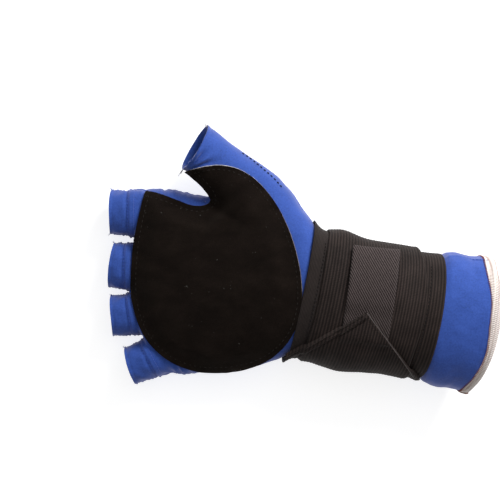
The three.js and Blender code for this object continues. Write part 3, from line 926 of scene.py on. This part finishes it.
def cut_grid(outline, pitch):
    """A grid seen from above, cut to an outline and snapped to its edge."""
    low, high = outline.min(0) - pitch, outline.max(0) + pitch
    xs, ys = (np.arange(low[k], high[k] + pitch, pitch) for k in (0, 1))
    points = np.stack(np.meshgrid(xs, ys, indexing="ij"), -1).reshape(-1, 2)
    inside, near = outline_distance(points, outline)
    snap = np.abs(inside) < 0.62 * pitch
    points[snap] = near[snap]
    used = (inside > 0) | snap
    faces = []
    for i in range(len(xs) - 1):
        for j in range(len(ys) - 1):
            k = i * len(ys) + j
            corners = [c for c in (k, k + len(ys), k + len(ys) + 1, k + 1) if used[c]]
            if len(corners) >= 3:
                faces.append(corners)
    middles = np.array([points[f].mean(0) for f in faces])
    keep = outline_distance(middles, outline)[0] > 0.02 * pitch
    index, faces = compact([f for f, good in zip(faces, keep) if good])
    inside = np.where(snap, 0, inside)
    return points[index], faces, inside[index]


def lay(plan, surface, centre=(0.0, 0.0)):
    """Drops points onto a surface. One that misses moves towards the centre until it meets it."""
    found = np.zeros((len(plan), 3))
    centre = np.array(centre)
    for i, spot in enumerate(plan):
        for _ in range(60):
            hit = surface.ray_cast(Vector((*spot, SKY)), Vector((0, 0, -1)))
            if hit[0] is not None and hit[0].z > 6:
                break
            spot = spot + 0.25 * (centre - spot) / np.linalg.norm(centre - spot)
        found[i] = (*spot, hit[0].z if hit[0] is not None else 20)
    return found


def smooth_heights(points, faces, fixed, rounds):
    """Evens a draped grid out by moving each free point to its neighbours' middle."""
    pairs = np.array([(f[i], f[(i + 1) % len(f)]) for f in faces for i in range(len(f))])
    for _ in range(rounds):
        total, count = np.zeros_like(points), np.zeros(len(points))
        for a, b in (pairs.T, pairs.T[::-1]):
            np.add.at(total, a, points[b])
            np.add.at(count, a, 1)
        mean = total / count[:, None]
        points = np.where(fixed[:, None], points, 0.5 * points + 0.5 * mean)
    return points


def solid_patch(name, base, up, faces, low, high, materials, body=None, uv=None):
    """A closed sheet between two heights over its base."""
    count = len(base)
    top, bottom = base + up * high[:, None], base + up * low[:, None]
    edges = {}
    for f in faces:
        for i, a in enumerate(f):
            edges[(a, f[(i + 1) % len(f)])] = True
    rim = [(a, a + count, b + count, b) for a, b in edges if (b, a) not in edges]
    every = [list(f) for f in faces] + [[v + count for v in f[::-1]] for f in faces] + rim
    piece = make(name, np.concatenate([top, bottom]), every, materials, body,
                 None if uv is None else np.concatenate([uv, uv]))
    fix_normals(piece)
    piece.data.set_sharp_from_angle(angle=RIM_ANGLE)
    return piece


def puff(points, faces, held, frames, most):
    """Swells a draped grid with Blender's cloth, held where it is stitched down."""
    piece = make("swelling", points, faces, None)
    group = piece.vertex_groups.new(name="held")
    for i, weight in enumerate(held):
        group.add([i], float(weight), "REPLACE")
    cloth = piece.modifiers.new("Cloth", "CLOTH")
    cloth.settings.quality = 6
    cloth.settings.mass = 0.25
    cloth.settings.use_pressure = True
    cloth.settings.uniform_pressure_force = 4
    cloth.settings.vertex_group_mass = "held"
    cloth.settings.effector_weights.gravity = 0
    cloth.settings.bending_stiffness = 2.0
    cloth.point_cache.frame_start, cloth.point_cache.frame_end = 1, frames
    for number in range(1, frames + 1):
        bpy.context.scene.frame_set(number)
    swollen = piece.evaluated_get(bpy.context.evaluated_depsgraph_get()).to_mesh()
    result = np.array([v.co for v in swollen.vertices]) / MM
    bpy.context.scene.frame_set(1)
    bpy.data.objects.remove(piece)
    move = result - points
    length = np.linalg.norm(move, axis=1, keepdims=True)
    return points + move * np.minimum(1, most / np.maximum(length, 1e-6))


def grid_normals(points, faces):
    piece = make("normals", points, faces, None)
    found = normals(piece)
    bpy.data.objects.remove(piece)
    return found * np.sign(found[:, 2:3] + 1e-6)


MARGIN = 4.8  # of the suede, outside the pad
SUEDE_THICK = 1.1
PAD_THICK = 2.6
STITCH_INSET = 2.4  # of the topstitch, from the suede's edge
LOBE_AT = np.array(BASE_PLANE["at"][:2])
LOBE_WAY = np.array(direction(BASE_PLANE["heading"])[:2])


def suede_palm():
    """The suede, draped on the skin, raised over the pad and swollen between its seams."""
    plan, faces, inside = cut_grid(PALM_OUTLINE, 1.35)
    laid = lay(plan, whole_hand)
    base = smooth_heights(laid, faces, inside <= 0, 6)
    base[:, 2] = np.maximum(base[:, 2], laid[:, 2] - 0.05)
    up = smooth_heights(grid_normals(base, faces), faces, inside < -1, 10)
    up /= np.linalg.norm(up, axis=1, keepdims=True)
    over_lobe = (plan - LOBE_AT) @ LOBE_WAY
    pad = smooth(inside, MARGIN - 2.0, MARGIN + 8) * (1 - smooth(over_lobe, -13, -5) * (plan[:, 0] > -6))
    top = base + up * (0.3 + SUEDE_THICK + PAD_THICK * pad)[:, None]
    held = 1 - smooth(inside, 2.6, 6.5)
    top = puff(top, faces, held, 18, 1.5)
    top = top + up * (0.10 * ripples(base, 12, 4) + 0.06 * ripples(base, 5, 6))[:, None]
    groove = 0.34 * bump(inside, STITCH_INSET, 0.7)
    lift = ((top - base) * up).sum(1) - groove + 0.1 * bump(inside, 0.9, 0.7)
    aside = (top - base) - up * ((top - base) * up).sum(1)[:, None]
    return base + aside, up, faces, inside, lift


def lobe_part(plan):
    """Whether a point of the suede lies on the thumb."""
    return ((plan - LOBE_AT) @ LOBE_WAY > 0) & (plan[:, 0] > -18) & (plan[:, 1] > 44.4)


base, up, faces, inside, lift = suede_palm()
plan_middles = np.array([base[f, :2].mean(0) for f in faces])
on_lobe = lobe_part(plan_middles)
suede_pieces = {}
for suede_name, chosen in (("suede_palm_cover", ~on_lobe), ("suede_thumb_lobe", on_lobe)):
    index, own = compact([f for f, pick in zip(faces, chosen) if pick])
    suede_pieces[suede_name] = solid_patch(
        suede_name, base[index], up[index], own, lift[index] - SUEDE_THICK, lift[index], SUEDE)
cover, lobe = suede_pieces["suede_palm_cover"], suede_pieces["suede_thumb_lobe"]
suede_surface = surface_of(cover, lobe)
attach(cover, "hand")
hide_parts("suede_palm")
bend_with_thumb(lobe)
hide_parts("suede_thumb")


# ---- Foam pad inside the palm ----
def impact_pad():
    within = inside > MARGIN - 0.2
    index, own = compact([f for f, lobed in zip(faces, on_lobe) if all(within[v] for v in f) and not lobed])
    high = lift[index] - SUEDE_THICK - 0.15
    low = np.minimum(0.35, high - 0.3)
    pad = solid_patch("impact_foam", base[index], up[index], own, low, high, FOAM, "hand")
    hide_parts("palm_pad")


impact_pad()


# ---- The wrist wrap ----
def spaced(start, end, step):
    return np.linspace(start, end, max(2, int(round((end - start) / step)) + 1))


def ribs(at, depth):
    return depth * (np.abs(np.sin(math.pi * np.asarray(at) / RIB)) ** 0.7 - 1)


def selvedge(at, start, end, drop):
    """Rounds a band off at both of its edges."""
    return -drop * (np.exp(-(at - start) / 0.35) + np.exp(-(end - at) / 0.35))


def band(name, at, turns, low, high, material, body, closed=True):
    """Elastic round the wrist: a grid of places along the arm and turns round it."""
    radius = 31
    piece = sheet_solid(name, arm.point(at, turns, high), arm.point(at, turns, low), closed, material, body,
                        np.stack([np.radians(turns) * radius, at], -1))
    return piece


ROUND = np.arange(0, 360, 2.5)
RIB_DEPTH = 0.3


def wavy(at, turns, size, seed):
    flat = arm.point(at, turns, BASE_TURN)
    return ripples(flat.reshape(-1, 3), size, seed).reshape(at.shape)


def base_turn():
    at = np.concatenate([spaced(WRAP_START, TURN_START + 1, RIB / 4), spaced(TURN_START + 3, TURN_END - 5, 4),
                         spaced(TURN_END - 4, WRAP_END, RIB / 4)])
    at, turns = np.meshgrid(at, ROUND, indexing="ij")
    high = BASE_TURN + ELASTIC + ribs(at, RIB_DEPTH) + selvedge(at, WRAP_START, WRAP_END, 0.5)
    covered = smooth(at, TURN_START, TURN_START + 2) * (at < TURN_END - 3)
    high += 0.12 * wavy(at, turns, 20, 31) - 0.15 * covered
    return band("wrist_base_turn", at, turns, np.full(at.shape, BASE_TURN), high, RIBBED, "hand")


def binding():
    end = TURN_START + 0.3
    at, turns = np.meshgrid(spaced(WRAP_START - 0.2, end, 0.35), ROUND, indexing="ij")
    low = np.full(at.shape, BASE_TURN + ELASTIC - 0.5)
    high = low + 1.0 + ribs(at * 2.2, 0.1) + selvedge(at, WRAP_START - 0.2, end, 0.45)
    high += 0.1 * wavy(at, turns, 12, 32)
    return band("wrap_edge_tape", at, turns, low, high, TAPE_EDGE, "hand")


def second_turn():
    at, turns = np.meshgrid(spaced(0, 1, RIB / 4 / (TURN_END - TURN_START)), ROUND, indexing="ij")
    swing = 4 * smooth(turns, 15, 75) * (1 - smooth(turns, 200, 320))
    end = TURN_END + swing + 0.4 * np.sin(np.radians(turns * 5))
    start = TURN_START + 0.4 * np.sin(np.radians(turns * 4 + 50))
    at = start + at * (end - start)
    high = SECOND_TURN + ELASTIC + ribs(at, RIB_DEPTH) + selvedge(at, start, end, 0.5)
    high += 0.16 * wavy(at, turns, 16, 33)
    high += 0.25 * bump(at, end - 1.2, 0.8)
    return band("wrist_second_turn", at, turns, np.full(at.shape, SECOND_TURN - 0.2), high, RIBBED, "hand")


for piece, node in ((base_turn(), "wrist_elastic"), (binding(), "edge_binding"),
                    (second_turn(), "second_turn")):
    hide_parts(node)

# The tab, seen from above: its free end, and the end under the strap's point.
TAB_CORNERS = np.array([(74.0, 18.2), (99.5, 15.9), (92.4, -33.5), (67.4, -30.5)])
FOLD = {"at": np.array([83.0, -12.2]), "heading": -8}
LEFT_EDGE = np.array([TIP, (37.0, -43.0)])
RIGHT_EDGE = np.array([TIP, (110.0, -55.3)])


def past_line(xy, line, side):
    """How far points lie on one side of a line."""
    way = (line[1] - line[0]) / np.linalg.norm(line[1] - line[0])
    return side * ((xy - line[0]) @ np.array([-way[1], way[0]]))


def in_triangle(xy):
    return np.minimum(past_line(xy, LEFT_EDGE, 1), past_line(xy, RIGHT_EDGE, -1))


def over_tab(xy):
    """How far inside the tab's outline a point is."""
    corners = TAB_CORNERS
    sides = [past_line(xy, np.array([corners[i], corners[(i + 1) % 4]]), -1) for i in range(4)]
    return np.minimum.reduce(sides)


def strap_edge(at):
    """The turn at which the strap's edge crosses each row, from the palm's side down."""
    turns = np.linspace(80, 176, 385)
    rows, columns = np.meshgrid(at, turns, indexing="ij")
    depth = in_triangle(arm.point(rows, columns, STRAP + ELASTIC)[..., :2])
    first = np.argmax(depth > 0, axis=1)
    none = ~(depth > 0).any(axis=1)
    pick = np.arange(len(at))
    a, b = depth[pick, first - 1], depth[pick, first]
    found = turns[first - 1] + (turns[first] - turns[first - 1]) * (-a / np.where(b == a, 1, b - a))
    return np.where(none, turns[-1], found)


ANCHOR_TURN = 292  # on the back of the wrist
HEM_FOLD = 3.0  # width of the fold along the strap's left edge


NEAR_EDGE = 16  # the columns are fixed up to here from the strap's edge
SHORT_ROW = 60


def spread(columns, reach):
    """How far the strap's columns lie from its edge, in a row that's this long to its seam."""
    if reach < SHORT_ROW:
        share = columns / columns[-1]
        return columns * (1 - share) + reach * share * share
    beyond = (columns - NEAR_EDGE) / (columns[-1] - NEAR_EDGE) * (reach - NEAR_EDGE)
    return np.where(columns <= NEAR_EDGE, columns, NEAR_EDGE + beyond)


def strap():
    """From its seam on the back, round the side of the little finger, to its point on the palm's side."""
    tip_at = float(arm.locate(*TIP, STRAP + ELASTIC, 84)[0])
    at = np.concatenate([spaced(WRAP_START - 2.2, tip_at, RIB / 4),
                         spaced(tip_at, WRAP_END - 0.8, RIB / 4)[1:]])
    edge = strap_edge(at)
    near = np.array([0, 0.25, 0.6, 1.0, 1.5, 2.0, 2.4, 2.75, 3.0, 3.3, 3.8, 4.5, 5.5, 7, 9, 11.5, 14])
    columns = np.concatenate([near, spaced(NEAR_EDGE, 100, 2.2)])
    turns = np.zeros((len(at), len(columns)))
    for i, (row, start) in enumerate(zip(at, edge)):
        fine = np.linspace(start, ANCHOR_TURN, 300)
        line = arm.point(row, fine, STRAP)
        reach = np.concatenate([[0], np.cumsum(np.linalg.norm(np.diff(line, axis=0), axis=1))])
        turns[i] = np.interp(spread(columns, reach[-1]), reach, fine)
    rows = np.repeat(at[:, None], len(columns), 1)
    xy = arm.point(rows, turns, STRAP + ELASTIC)[..., :2]
    top_side = 1 - smooth(turns, 150, 172)
    from_left = past_line(xy, LEFT_EDGE, 1)
    from_right = past_line(xy, RIGHT_EDGE, -1)
    drop = 1.6 * smooth(TURN_START - rows, -0.5, 2.5) + 2.0 * smooth(rows - TURN_END, 4, 8)
    raised = 1.5 * smooth(over_tab(xy), -2.2, 0.4) * top_side
    swell = 0.18 * wavy(rows, turns, 15, 34) + 0.5 * bump(from_left, 7, 4) * bump(rows, 62, 12) * top_side
    high = STRAP + ELASTIC - drop + raised + swell
    high += ribs(rows, RIB_DEPTH)
    fold = top_side * (1 - smooth(from_left, HEM_FOLD - 0.5, HEM_FOLD + 0.1)) * (from_right > 2)
    high += fold * (0.85 + 0.1 * np.sin(from_left * 4) - ribs(rows, RIB_DEPTH))
    groove = 0.3 * (bump(from_left, 0.8, 0.3) + bump(from_left, HEM_FOLD + 0.2, 0.35)) * top_side
    high -= groove + 0.5 * np.exp(-np.minimum(from_left, from_right).clip(0) / 0.3) * top_side
    high += selvedge(rows, at[0], at[-1], 0.5)
    low = np.minimum(STRAP - drop + raised, high - 0.5)
    piece = band("wrist_strap", rows, turns, low, high, RIBBED, None, closed=False)
    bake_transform(piece)
    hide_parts("strap_back", "strap_end")
    return piece


def tab_grid(across, along, corners):
    s, t = np.meshgrid(across, along, indexing="ij")
    s, t = s[..., None], t[..., None]
    a, b, c, d = corners
    return (a * (1 - s) + b * s) * (1 - t) + (d * (1 - s) + c * s) * t


def tab():
    """Twill webbing with hook tape under its free part."""
    along, across = spaced(0, 1, 0.012), spaced(0, 1, 0.025)
    xy = tab_grid(across, along, TAB_CORNERS)
    at, turns = arm.locate(xy[..., 0], xy[..., 1], TAB, 85)
    way = np.array(direction(FOLD["heading"] + 90))[:2]
    free = smooth((xy - FOLD["at"]) @ way, -8, 1.5)
    low = TAPE + 0.1 + (TAB - TAPE) * free
    lift = 0.3 * bump((xy - TAB_CORNERS[0]) @ way, 0, 6)
    lift += 0.7 * bump(past_line(xy, TAB_CORNERS[[0, 3]], 1), 0, 4) * free
    high = low + TAB_THICK + 0.10 * wavy(at, turns, 14, 36) + lift
    edge = over_tab(xy)
    high = high - 0.35 * np.exp(-edge.clip(0) / 0.35) + 0.1 * bump(edge, 1.4, 0.6)
    u = np.repeat(across[:, None], len(along), 1) * 27
    v = np.repeat(along[None], len(across), 0) * 50
    piece = sheet_solid("wrap_tab", arm.point(at, turns, high), arm.point(at, turns, low + lift), False,
                        TWILL, uv=np.stack([u, v], -1))
    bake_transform(piece)
    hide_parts("tab_root", "hook_tab")


def hook_patch():
    way = np.array(direction(FOLD["heading"] + 90))[:2]
    centre = TAB_CORNERS.mean(0)
    corners = TAB_CORNERS + 1.4 * np.sign(centre - TAB_CORNERS)
    corners[2:] = FOLD["at"] + np.outer([9.5, -11.5], np.array(direction(FOLD["heading"]))[:2]) + way * 2
    xy = tab_grid(spaced(0, 1, 0.05), spaced(0, 1, 0.04), corners)
    at, turns = arm.locate(xy[..., 0], xy[..., 1], TAPE, 85)
    along = np.linalg.norm(xy - corners[0], axis=-1)
    piece = sheet_solid("tab_hooks", arm.point(at, turns, np.full(at.shape, TAPE + 0.95)),
                        arm.point(at, turns, np.full(at.shape, TAPE + 0.05)), False, HOOKS, "tab",
                        np.stack([xy[..., 0], along], -1))
    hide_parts("hook_tape")


strap_surface = surface_of(strap())
tab()
hook_patch()


# ---- The cuff ----
CUFF_SEAM = 18  # the turn where its side seam runs
HEM_TAIL = 184  # the turn where the hem's ends meet


def cuff_slant(turns):
    """The cuff's end waves: sooner on the thumb's side and at the little finger's, later between."""
    return (-1.2 * bump(from_turn(turns, 12), 0, 42) - 2.2 * bump(from_turn(turns, 38), 0, 24)
            + 1.4 * bump(from_turn(turns, 112), 0, 18) - 2.0 * bump(from_turn(turns, 156), 0, 18))


def hem_width(turns):
    """The band is wider near the thumb than where it is pulled tight over the palm's side."""
    return 6.2 - 2.4 * bump(from_turn(turns, 118), 0, 26) - 1.3 * bump(from_turn(turns, 175), 0, 40)


def cuff():
    at, turns = np.meshgrid(np.concatenate([spaced(100, 117, 2), spaced(118, CUFF_END + 0.4, 0.6)]),
                            np.arange(0, 360, 2.0), indexing="ij")
    seam = bump(from_turn(turns, CUFF_SEAM), 0, 2.0) * smooth(at, 117, 119)
    bite = 0.7 + 0.3 * np.sin(at * 2 * math.pi / 1.9)
    shown = smooth(at, 117, 121)
    squeezed = 2.4 * smooth(at, 117, 120.5) * (1 - smooth(at, 123, 134)) * np.cos(np.radians(turns)) ** 2
    at = at + cuff_slant(turns) * smooth(at, 128, CUFF_END)
    high = LINER + 0.1 + seam * 0.45 * bite
    high = high + squeezed + shown * (0.3 * wavy(at, turns, 24, 41) + 0.12 * wavy(at, turns, 9, 42))
    high += -0.45 * smooth(at, CUFF_END - 0.9, CUFF_END + 0.4) + 0.15 * bump(at, CUFF_END - 1.6, 0.7)
    piece = sheet_solid("cuff_sleeve", arm.point(at, turns, high), arm.point(at, turns, high - 0.9), True,
                        BLUE, "hand", np.stack([np.radians(turns) * 36, at], -1))
    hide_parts("cuff_liner")


HEM_RIBS = 240


def cuff_hem():
    step = 360 / HEM_RIBS / 4
    at, turns = np.meshgrid(np.concatenate([[-0.25, 0], spaced(0.3, HEM, 0.5), [HEM + 0.3]]),
                            np.arange(0, 360, step), indexing="ij")
    share = np.clip(at / HEM, 0, 1)
    at = cuff_slant(turns) + at * hem_width(turns) / HEM
    body = 0.95 * np.sqrt(np.clip(1 - (2 * share - 1) ** 2, 0, 1)) * (0.8 + 0.3 * share)
    knit = 0.16 * np.sin(np.radians(turns * HEM_RIBS) + 2.2 * share) * bump(share, 0.5, 0.6)
    place = arm.point(CUFF_END + at, turns, LINER)
    slack = 0.25 * ripples(place.reshape(-1, 3), 22, 44).reshape(at.shape)
    high = LINER - 0.3 + body + knit + slack
    piece = sheet_solid("cuff_hem_band", arm.point(CUFF_END + 0.2 + at, turns, high),
                        arm.point(CUFF_END + 0.2 + at, turns, high - 1.1 - 0.5 * body), True, HEM_KNIT,
                        "hand", np.stack([np.radians(turns) * 36, at], -1))
    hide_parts("cuff_hem")


cuff()
cuff_hem()


# ---- Edges, stitches and thread ends ----
def drop(path, surface):
    """A line seen from above, laid on a surface, with the surface's direction at each point."""
    spots, ways = [], []
    for x, y in path:
        spot, way = surface.ray_cast(Vector((x, y, SKY)), Vector((0, 0, -1)))[:2]
        if spot is not None:
            spots.append(tuple(spot))
            ways.append(tuple(way if way.z > 0 else -way))
    return np.array(spots), np.array(ways)


def even(path, rounds):
    """Takes the small zigzags out of an open line."""
    path = np.array(path)
    for _ in range(rounds):
        path[1:-1] = 0.5 * path[1:-1] + 0.25 * (path[:-2] + path[2:])
    return path


def inset(outline, depth):
    """A closed outline, moved inwards."""
    way = np.roll(outline, -1, 0) - np.roll(outline, 1, 0)
    way /= np.linalg.norm(way, axis=1, keepdims=True)
    return outline + np.stack([-way[:, 1], way[:, 0]], -1) * depth


def suede_rim():
    """The suede's cut edge, in order from the corner by the index finger, anticlockwise."""
    chosen = np.flatnonzero(inside <= 0)
    gap = np.linalg.norm(PALM_OUTLINE[None] - base[chosen, None, :2], axis=-1)
    order = np.argsort(gap.argmin(1), kind="stable")
    chosen = chosen[order]
    middle = base[chosen] + up[chosen] * (lift[chosen] - 0.55 * SUEDE_THICK)[:, None]
    return even(middle, 6)


def split_runs(flags):
    """Start and end of each run of true flags."""
    edges = np.flatnonzero(np.diff(np.concatenate([[0], flags.astype(int), [0]])))
    return [(a, b) for a, b in zip(edges[::2], edges[1::2]) if b - a > 3]


SUEDE_SIDES = (("palm", False), ("lobe", True))
# Painted light: the cut edge's shaded, half-lit and lit copies, keyed dark, grey and pale.
RAW_EDGE_LIGHTING = {"dark": (RAW_EDGE_SHADED, 0.22), "grey": (RAW_EDGE_HALF_LIT, 0.24), "pale": (RAW_EDGE_LIT, 0.30)}


def follow_suede(piece, on_thumb):
    if on_thumb:
        bend_with_thumb(piece)
    else:
        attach(piece, "hand")


def raw_edges():
    """The cut edge of the suede, tan of its own, with painted light: pale round the lobe and grey along the
    thumb's side, which face the key light, and dark elsewhere, where the edge is turned away.
    """
    path = suede_rim()
    lobe_side = lobe_part(path[:, :2])
    x, y = path[:, 0], path[:, 1]
    # Painted light: pale where the edge faces the key light at the lobe, grey along the thumb's side, and
    # dark where the edge is turned away.
    shade = np.where((y > 50.5) & (x > -17), "pale", np.where((x > 10) & (y > -6), "grey", "dark"))
    for side, on_thumb in SUEDE_SIDES:
        for edge_lighting, (material, thick) in RAW_EDGE_LIGHTING.items():
            lines = [path[a:min(b + 1, len(path))]
                     for a, b in split_runs((lobe_side == on_thumb) & (shade == edge_lighting))]
            if not lines:
                continue
            radii = [thick * (1 + 0.25 * ripples(line, 3, 51)) for line in lines]
            follow_suede(tubes(f"suede_edge_{side}_{edge_lighting}", lines, radii, material), on_thumb)


def suede_stitches():
    path = inset(PALM_OUTLINE, STITCH_INSET)
    lobe_side = lobe_part(path)
    for side, on_thumb in SUEDE_SIDES:
        lines, radii = [], []
        for a, b in split_runs(lobe_side == on_thumb):
            spots, ways = drop(path[a:b], suede_surface)
            more = stitch_lines(spots - ways * 0.10, ways, 2.9, 1.6, 0.19)
            lines += more[0]
            radii += more[1]
        follow_suede(tubes(f"suede_topstitch_{side}", lines, radii, SUEDE_THREAD), on_thumb)


def thenar_stitches():
    """The seam along the thumb's outer side, seen just inside its outline."""
    curve = spline([0, 1, 2, 3, 4], [(15.2, 69.0), (21.0, 65.0), (27.2, 59.8), (31.8, 55.8), (35.8, 51.4)])
    path = curve(np.linspace(0, 4, 90))
    spots, ways = drop(path, whole_hand)
    piece = sew("thumb_seam_stitches", spots + ways * 0.15, ways, 2.4, 1.25, 0.30, BLACK_THREAD)
    bend_with_thumb(piece)


def round_row(track, at, offset, start, end, step=1.5):
    """A line round a track, with its outward directions."""
    turns = spaced(start, end, step)
    line = track.point(at, turns, offset)
    return line, track.normal(np.full(turns.shape, float(np.mean(at))), turns, offset)


def finger_details(name, line):
    """Stitches round the sleeve's root, and thread ends where its seams run out."""
    start, way, length = sleeve_line(line)
    row, ways = round_row(line, 1 + 1.5 / length, LINER + 0.28, 0, 360)
    lines, radii = stitch_lines(row, ways, 1.9, 1.1, 0.17)
    random = np.random.default_rng(len(name))
    for corner in SIDE_SEAMS if name == "index" else SIDE_SEAMS[1:]:
        foot = line.point(1.97, corner, LINER + 0.3)
        out = line.point(1.97, corner, LINER + 1.3) - foot
        for _ in range(2):
            share = np.linspace(0, 1, 7)[:, None]
            lean = random.normal(size=3) * 0.6
            reach = random.uniform(0.9, 1.7)
            lines.append(foot + reach * (way * share * 0.75 + (out + lean * 0.5) * share ** 1.6 * 0.7))
            radii.append(np.linspace(0.19, 0.11, 7))
    piece = tubes(f"{name}_sleeve_stitches", lines, radii, BLUE_THREAD, sides=5)
    bend_with_finger(piece, line)


def thumb_details():
    mouth = np.array(THUMB_MOUTH["at"])
    way = np.array(direction(THUMB_MOUTH["heading"], THUMB_MOUTH["rise"]))
    random = np.random.default_rng(SEED)
    lines, radii = [], []
    for spot in ((-4.6, 83.4, 27.5), (-17.3, 60.9, 28.0)):
        spot = np.array(spot)
        out = spot - mouth
        out /= np.linalg.norm(out)
        for _ in range(4):
            share = np.linspace(0, 1, 7)[:, None]
            reach = random.uniform(1.5, 2.8)
            lean = random.normal(size=3) * 0.5
            lines.append(spot + reach * (way * share * 0.6 + (out * 0.8 + lean) * share ** 1.5))
            radii.append(np.linspace(0.19, 0.11, 7))
    piece = tubes("thumb_thread_ends", lines, radii, PALE_THREAD, sides=5)
    bend_with_thumb(piece)


LEFT_ROW, RIGHT_ROW = 53.2, 109.6  # where the wrap's two rows of stitches run


def wrap_stitches():
    turns = spaced(40, 168, 1.0)
    row = arm.point(LEFT_ROW, turns, BASE_TURN + ELASTIC + 0.45)
    ways = arm.normal(np.full(turns.shape, LEFT_ROW), turns, BASE_TURN + ELASTIC)
    piece = sew("wrap_left_stitches", row, ways, 2.1, 1.4, 0.30, BLACK_THREAD, "hand")
    at = np.full(turns.shape, RIGHT_ROW)
    row = arm.point(at, turns, BASE_TURN + ELASTIC - 0.05)
    piece = sew("wrap_right_stitches", row, arm.normal(at, turns, BASE_TURN + ELASTIC), 2.1, 1.4, 0.26,
                BLACK_THREAD, "hand")


def strap_line(line, inset_by, start, end, count=120):
    """A line on the strap, beside one of its slanting edges."""
    tip, far = line
    along = (far - tip) / np.linalg.norm(far - tip)
    across = np.array([-along[1], along[0]])
    if in_triangle((tip + along * 20 + across)[None])[0] < 0:
        across = -across
    share = np.linspace(start, end, count)[:, None]
    path = tip + (far - tip) * share + across * inset_by
    return drop(path, strap_surface)


def strap_details():
    lines, radii = [], []
    for depth, start, end in ((0.75, 0.03, 0.99), (HEM_FOLD + 0.15, 0.10, 0.97)):
        spots, ways = strap_line(LEFT_EDGE, depth, start, end)
        more = stitch_lines(spots - ways * 0.05, ways, 1.75, 1.3, 0.24, 0.25)
        lines += more[0]
        radii += more[1]
    spots, ways = strap_line(RIGHT_EDGE, 1.6, 0.06, 0.93)
    more = stitch_lines(spots - ways * 0.1, ways, 2.0, 1.2, 0.17)
    pieces = [tubes("strap_fold_stitches", lines, radii, BROWN_THREAD),
              tubes("strap_edge_stitches", *more, BLACK_THREAD)]
    spots, ways = strap_line(RIGHT_EDGE, 0.25, 0.0, 0.97)
    edge = even(spots, 4) - ways * 0.05
    thick = 0.22 * (1 + 0.2 * ripples(edge, 2.5, 52))
    pieces.append(tubes("strap_edge_thread", [edge], [thick], GREY_THREAD))
    for piece in pieces:
        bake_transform(piece)


def cuff_details():
    turns = np.arange(0, 360, 1.2)
    at = CUFF_END + 0.15 + cuff_slant(turns)
    row = arm.point(at, turns, LINER + 0.35)
    piece = sew("cuff_overlock", row, arm.normal(at, turns, LINER), 1.1, 1.15, 0.17, RUST_THREAD, "hand", 1.2)
    at = spaced(118.5, CUFF_END - 0.5, 0.6)
    turns = np.full(at.shape, CUFF_SEAM + 2.6)
    row = arm.point(at, turns, LINER + 0.3)
    piece = sew("cuff_side_seam_stitches", row, arm.normal(at, turns, LINER), 1.9, 1.2, 0.18,
                BLUE_THREAD, "hand")
    # The hem's own ends, sewn together into a small tail.
    width = float(hem_width(HEM_TAIL))
    at = spaced(CUFF_END + 0.3, CUFF_END + width + 0.9, 0.25)
    far = (at - CUFF_END) * HEM / width
    rise = 1.25 * np.sin(math.pi * np.clip(far / (HEM + 1.4), 0, 1)) ** 0.5 + 0.45 * smooth(far, 4, 7)
    foot, tip = (arm.point(at, HEM_TAIL, LINER - 0.3 + extra) for extra in (0, 1))
    out = tip - foot
    lines = [foot + out * (rise * level)[:, None] for level in (0.35, 0.75, 1.1)]
    piece = tubes("cuff_hem_tail", lines, [np.full(len(at), 0.52)] * 3, HEM_KNIT, "hand", sides=8)


raw_edges()
suede_stitches()
thenar_stitches()
for finger_name, finger_line in FINGERS.items():
    finger_details(finger_name, finger_line)
thumb_details()
wrap_stitches()
strap_details()
cuff_details()


# ---- Floor, lights and camera ----
FLOOR_REACH = 3000
FLOOR_DROP = 0.2  # the floor's depth below the part
FLOOR_GLOW, WORLD_GLOW = 0.77, 0.25
floor_corners = [(FLOOR_REACH * x, FLOOR_REACH * y, -FLOOR_DROP)
                 for x, y in ((-1, -1), (1, -1), (1, 1), (-1, 1))]
floor = make("floor", floor_corners, [(0, 1, 2, 3)], None)
floor_material, _, floor_shader = new_material("floor_paper", (0.5, 0.5, 0.5), 0.9)
floor.data.materials.append(floor_material)
floor_shader.inputs["Emission Color"].default_value = (1, 1, 1, 1)
floor_shader.inputs["Emission Strength"].default_value = FLOOR_GLOW


def light(name, spot, aim, size, power):
    lamp = bpy.data.lights.new(name, "AREA")
    lamp.shape, lamp.size, lamp.energy = "DISK", size, power
    item = bpy.data.objects.new(name, lamp)
    item.location = spot
    item.rotation_euler = (Vector(aim) - Vector(spot)).to_track_quat("-Z", "Y").to_euler()
    bpy.context.scene.collection.objects.link(item)


light("key", (0.30, 0.40, 0.36), (0.07, 0, 0), 0.30, 4.2)
light("fill", (0.15, 0.35, 1.25), (0.04, 0, 0), 1.2, 4.8)
world = bpy.data.worlds.new("studio")
bpy.context.scene.world = world
world.use_nodes = True
sky = world.node_tree.nodes["Background"]
sky.inputs["Color"].default_value = (1, 1, 1, 1)
sky.inputs["Strength"].default_value = WORLD_GLOW
bpy.context.scene.view_settings.view_transform = "Standard"

camera_data = bpy.data.cameras.new("camera")
camera_data.lens = 108
camera_data.sensor_width = 36
camera = bpy.data.objects.new("camera", camera_data)
camera.location = (0.0190, 0.0165, 0.85)
bpy.context.scene.collection.objects.link(camera)
bpy.context.scene.camera = camera
